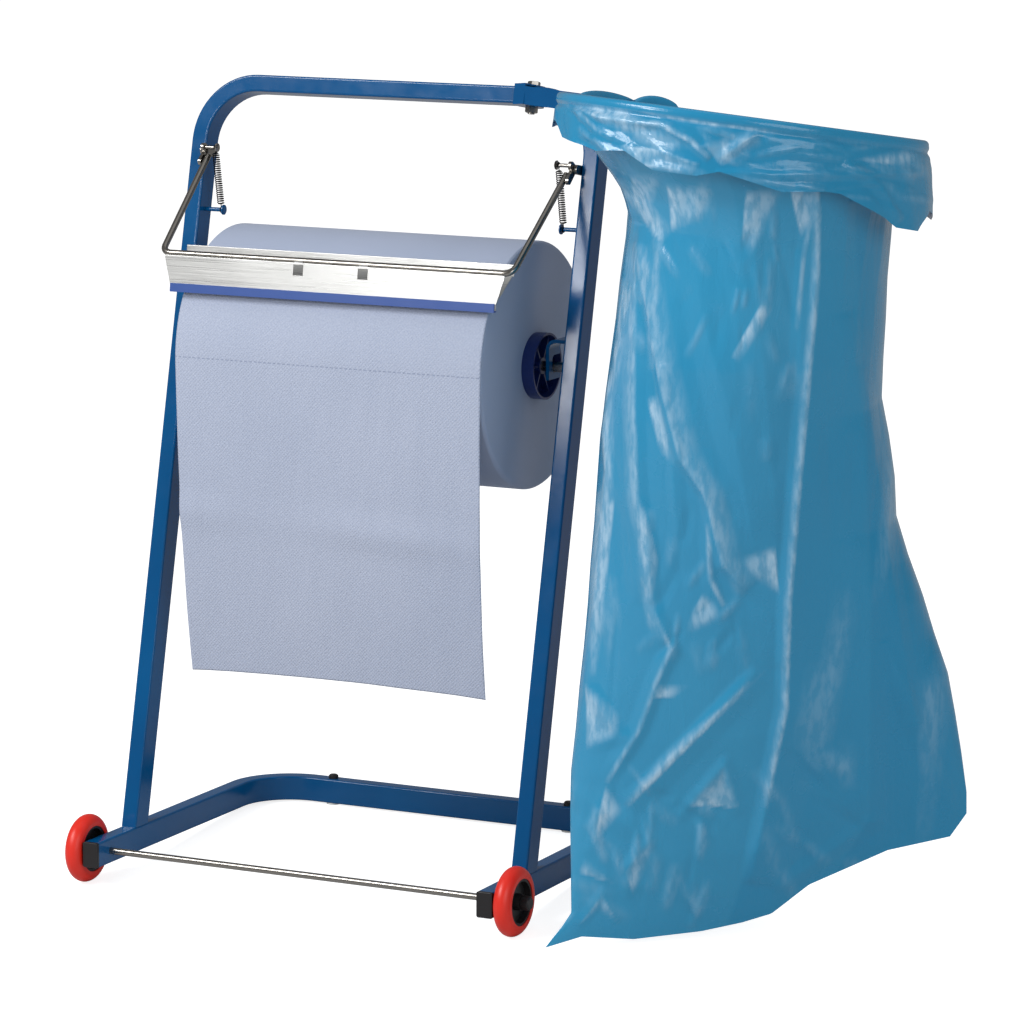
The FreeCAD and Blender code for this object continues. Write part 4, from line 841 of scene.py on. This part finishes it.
def hanging_sheet():
    """The paper's free end, waved and creased, with its flat place as UV in metres."""
    line = sheet_line(180)
    columns = 150
    points = []
    flat = []
    length = 0.0
    for row, (forward, height) in enumerate(line):
        if row:
            length += math.dist(line[row], line[row - 1])
        down = max(0.0, -height / (LEVEL_ROLL_HEIGHT - SHEET_BOTTOM))
        for column in range(columns):
            u = column / (columns - 1) * 2 - 1
            x = u * SHEET_HALF * (1 - 0.028 * down)
            curl = 5.0 * down ** 2 * (abs(u) ** 6) * (1 if u < 0 else 0.6)
            wave = 2.2 * down * noise.noise(Vector((u * 2.4, height * 0.004, 4.2)))
            wave += 0.5 * noise.noise(Vector((u * 11, height * 0.018, 1.2))) * min(1.0, down * 8)
            z = height + 3.5 * (1 - u * u) * down ** 3
            wave += 3.5 * math.exp(-((height + 186 + 8 * u) / 20) ** 2) * (0.6 + 0.4 * math.sin(u * 4))
            lift = max(0.0, wave) if down < 0.02 else wave
            points.append(roll_middle + turned(x, forward - curl - lift, z) * MM)
            flat.append((u * SHEET_HALF * MM, length * MM))
    faces = grid_faces(len(line), columns, False)
    piece = add_mesh("paper_end", points, faces, towel)
    layer = piece.data.uv_layers.new(name="UVMap")
    for loop in piece.data.loops:
        layer.data[loop.index].uv = flat[loop.vertex_index]
    skin = piece.modifiers.new("thickness", "SOLIDIFY")
    skin.thickness = 0.0004
    skin.offset = 0
    bake(piece)
    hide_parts("hanging_sheet")
    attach(piece, "stand")


# Springs, in metres
COIL_TURNS = 23.0
COIL_RADIUS = 0.0038
END_DISC_RADIUS = 0.0036
WIRE_RADIUS = 0.0006
STUD_RADIUS = 0.0025
PIN_RADIUS = 0.00225
HOOK_GAP = 0.0003
HOOK_REACH = 0.0042
HOOK_NECK = 0.0026


def coil_tree():
    """Geometry nodes that wind a wire into a coil along Z."""
    tree = bpy.data.node_groups.new("coil", "GeometryNodeTree")
    sockets = tree.interface
    names = ("Turns", "Radius", "Length", "Wire")
    sockets.new_socket(name="Geometry", in_out="INPUT", socket_type="NodeSocketGeometry")
    for name in names:
        sockets.new_socket(name=name, in_out="INPUT", socket_type="NodeSocketFloat")
    sockets.new_socket(name="Material", in_out="INPUT", socket_type="NodeSocketMaterial")
    sockets.new_socket(name="Geometry", in_out="OUTPUT", socket_type="NodeSocketGeometry")
    given = tree.nodes.new("NodeGroupInput")
    out = tree.nodes.new("NodeGroupOutput")
    spiral = tree.nodes.new("GeometryNodeCurveSpiral")
    spiral.inputs["Resolution"].default_value = 20
    circle = tree.nodes.new("GeometryNodeCurvePrimitiveCircle")
    circle.inputs["Resolution"].default_value = 8
    sweep = tree.nodes.new("GeometryNodeCurveToMesh")
    sweep.inputs["Fill Caps"].default_value = True
    real = tree.nodes.new("GeometryNodeRealizeInstances")
    dress = tree.nodes.new("GeometryNodeSetMaterial")
    links = tree.links
    links.new(given.outputs["Turns"], spiral.inputs["Rotations"])
    links.new(given.outputs["Radius"], spiral.inputs["Start Radius"])
    links.new(given.outputs["Radius"], spiral.inputs["End Radius"])
    links.new(given.outputs["Length"], spiral.inputs["Height"])
    links.new(given.outputs["Wire"], circle.inputs["Radius"])
    links.new(spiral.outputs["Curve"], sweep.inputs["Curve"])
    links.new(circle.outputs["Curve"], sweep.inputs["Profile Curve"])
    links.new(sweep.outputs["Mesh"], real.inputs["Geometry"])
    links.new(real.outputs["Geometry"], dress.inputs["Geometry"])
    links.new(given.outputs["Material"], dress.inputs["Material"])
    links.new(dress.outputs["Geometry"], out.inputs["Geometry"])
    return tree


def round_wire(path, radius, sides=8):
    """Points and faces of a wire bent along a path, its ends closed."""
    points = []
    faces = []
    side = Vector((1, 0, 0))
    for number, place in enumerate(path):
        before = path[max(0, number - 1)]
        after = path[min(len(path) - 1, number + 1)]
        along = (after - before).normalized()
        other = along.cross(side).normalized()
        for corner in range(sides):
            angle = 2 * math.pi * corner / sides
            points.append(place + (side * math.cos(angle) + other * math.sin(angle)) * radius)
    for ring in range(len(path) - 1):
        for corner in range(sides):
            following = (corner + 1) % sides
            a = ring * sides + corner
            b = ring * sides + following
            faces.append((a, b, b + sides, a + sides))
    faces.append(tuple(range(sides))[::-1])
    faces.append(tuple(range(len(points) - sides, len(points))))
    return points, faces


def spring_hook(pin, radius, way, inside_point):
    """Path of an end hook: from the coil down to the pin and round it, in the YZ plane."""
    across = way.cross(Vector((1, 0, 0))).normalized()
    path = [inside_point, pin + way * (radius + HOOK_NECK)]
    for step in range(23):
        angle = math.radians(90 + step * 290 / 22)
        path.append(pin + (across * math.cos(angle) + way * math.sin(angle)) * radius)
    return path


def wound_spring(side, tree):
    """Close-wound coil with an end hook on the stud and one on the crank's pin."""
    x = middle(side + "_spring").x
    stud = middle(side + "_spring_stud")
    pin = middle(side + "_spring_pin")
    low = Vector((x, stud.y, stud.z))
    high = Vector((x, pin.y, pin.z))
    way = (high - low).normalized()
    low_hook = STUD_RADIUS + HOOK_GAP + WIRE_RADIUS
    high_hook = PIN_RADIUS + HOOK_GAP + WIRE_RADIUS
    start = low + way * (low_hook + HOOK_REACH)
    end = high - way * (high_hook + HOOK_REACH)
    piece = add_mesh(side + "_spring_coil", [(0, 0, 0)], [], spring_steel)
    coil = piece.modifiers.new("coil", "NODES")
    coil.node_group = tree
    given = {"Turns": COIL_TURNS, "Radius": COIL_RADIUS, "Length": (end - start).length,
             "Wire": WIRE_RADIUS, "Material": spring_steel}
    for item in tree.interface.items_tree:
        if item.in_out == "INPUT" and item.name in given:
            coil[item.identifier] = given[item.name]
    bake(piece)
    turn = way.to_track_quat("Z", "X").to_matrix().to_4x4()
    piece.data.transform(Matrix.Translation(start) @ turn)
    points = [v.co.copy() for v in piece.data.vertices]
    faces = [tuple(p.vertices) for p in piece.data.polygons]
    sideways = Vector((1, 0, 0))
    backward = way.cross(sideways)
    spokes = [2 * math.pi * n / 20 for n in range(20)]
    rim = [(sideways * math.cos(a) + backward * math.sin(a)) * END_DISC_RADIUS for a in spokes]
    for pin_at, radius, towards, coil_end in ((low, low_hook, way, start), (high, high_hook, -way, end)):
        more, more_faces = round_wire(spring_hook(pin_at, radius, towards, coil_end), WIRE_RADIUS)
        disc = [coil_end + spoke for spoke in rim]
        for extra, extra_faces in ((more, more_faces), (disc, [tuple(range(20))])):
            base = len(points)
            points += extra
            faces += [tuple(base + v for v in face) for face in extra_faces]
    bpy.data.objects.remove(piece)
    piece = add_mesh(side + "_spring_coil", points, faces, spring_steel)
    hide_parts(side + "_spring")
    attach(piece, side + "_spring_body")


waste_bag()
hanging_sheet()
coil = coil_tree()
for side in ("left", "right"):
    wound_spring(side, coil)


# Camera, lights and floor
def photo_camera():
    """Camera at the photograph's place and angle."""
    yaw = math.radians(25.8476)
    pitch = math.radians(9.7715)
    roll = math.radians(0.2552)
    ahead = Vector((-math.sin(yaw) * math.cos(pitch), math.cos(yaw) * math.cos(pitch), -math.sin(pitch)))
    level = Vector((math.cos(yaw), math.sin(yaw), 0))
    upward = level.cross(ahead)
    right = LEAN @ (level * math.cos(roll) + upward * math.sin(roll))
    up = LEAN @ (upward * math.cos(roll) - level * math.sin(roll))
    back = LEAN @ -ahead
    data = bpy.data.cameras.new("photo_camera")
    data.sensor_width = 36
    data.lens = 165.87
    data.clip_end = 60
    camera = bpy.data.objects.new("photo_camera", data)
    turn = Matrix((right, up, back)).transposed().to_4x4()
    camera.matrix_world = Matrix.Translation(CAMERA_PLACE) @ turn
    bpy.context.scene.collection.objects.link(camera)
    bpy.context.scene.camera = camera


def lamp(name, place, target, size, power):
    """Round lamp of a size in metres, turned to a target."""
    data = bpy.data.lights.new(name, "AREA")
    data.shape = "DISK"
    data.size = size
    data.energy = power
    thing = bpy.data.objects.new(name, data)
    thing.location = place
    thing.rotation_euler = (Vector(target) - Vector(place)).to_track_quat("-Z", "Y").to_euler()
    bpy.context.scene.collection.objects.link(thing)


def light_level(tree, low, mirrored, high):
    """One value for light that falls on things, one for reflections and one for the camera's view."""
    path = tree.nodes.new("ShaderNodeLightPath")
    soft = tree.nodes.new("ShaderNodeMapRange")
    soft.inputs["To Min"].default_value = low
    soft.inputs["To Max"].default_value = mirrored
    tree.links.new(path.outputs["Is Glossy Ray"], soft.inputs["Value"])
    level = tree.nodes.new("ShaderNodeMapRange")
    tree.links.new(soft.outputs["Result"], level.inputs["To Min"])
    level.inputs["To Max"].default_value = high
    tree.links.new(path.outputs["Is Camera Ray"], level.inputs["Value"])
    return level.outputs["Result"]


def white_studio():
    """White surroundings for the camera, dimmer as light and dimmer still in reflections."""
    world = bpy.data.worlds.new("studio")
    bpy.context.scene.world = world
    world.use_nodes = True
    back = world.node_tree.nodes["Background"]
    back.inputs["Color"].default_value = (1, 1, 1, 1)
    world.node_tree.links.new(light_level(world.node_tree, 0.42, 0.2, 1.0), back.inputs["Strength"])


def floor():
    """Pale floor that keeps the shadows, and glows for the camera alone."""
    material = bpy.data.materials.new("pale_floor")
    material.use_nodes = True
    shader = material.node_tree.nodes["Principled BSDF"]
    shader.inputs["Base Color"].default_value = (0.6, 0.6, 0.6, 1)
    shader.inputs["Roughness"].default_value = 1.0
    shader.inputs["Specular IOR Level"].default_value = 0.0
    shader.inputs["Emission Color"].default_value = (1, 1, 1, 1)
    glow = light_level(material.node_tree, 0.0, 0.0, 0.8)
    material.node_tree.links.new(glow, shader.inputs["Emission Strength"])
    reach = 14.0
    corners = [(-reach, -reach, 0), (reach, -reach, 0), (reach, reach, 0), (-reach, reach, 0)]
    ground = add_mesh("pale_floor", corners, [(0, 1, 2, 3)], material, smooth=False)


photo_camera()
lamp("key", (-2.2, -2.4, 3.1), (0, 0, 0.6), 1.5, 86)
lamp("fill", (3.4, -2.6, 2.0), (0, 0, 0.5), 2.6, 46)
lamp("top", (0.2, 0.6, 3.6), (0, 0, 0.5), 3.0, 9)
lamp("edge", (-0.79, -1.62, 1.34), at(245, 180, 730), 0.42, 7)
white_studio()
floor()
bpy.context.scene.view_settings.view_transform = "Standard"
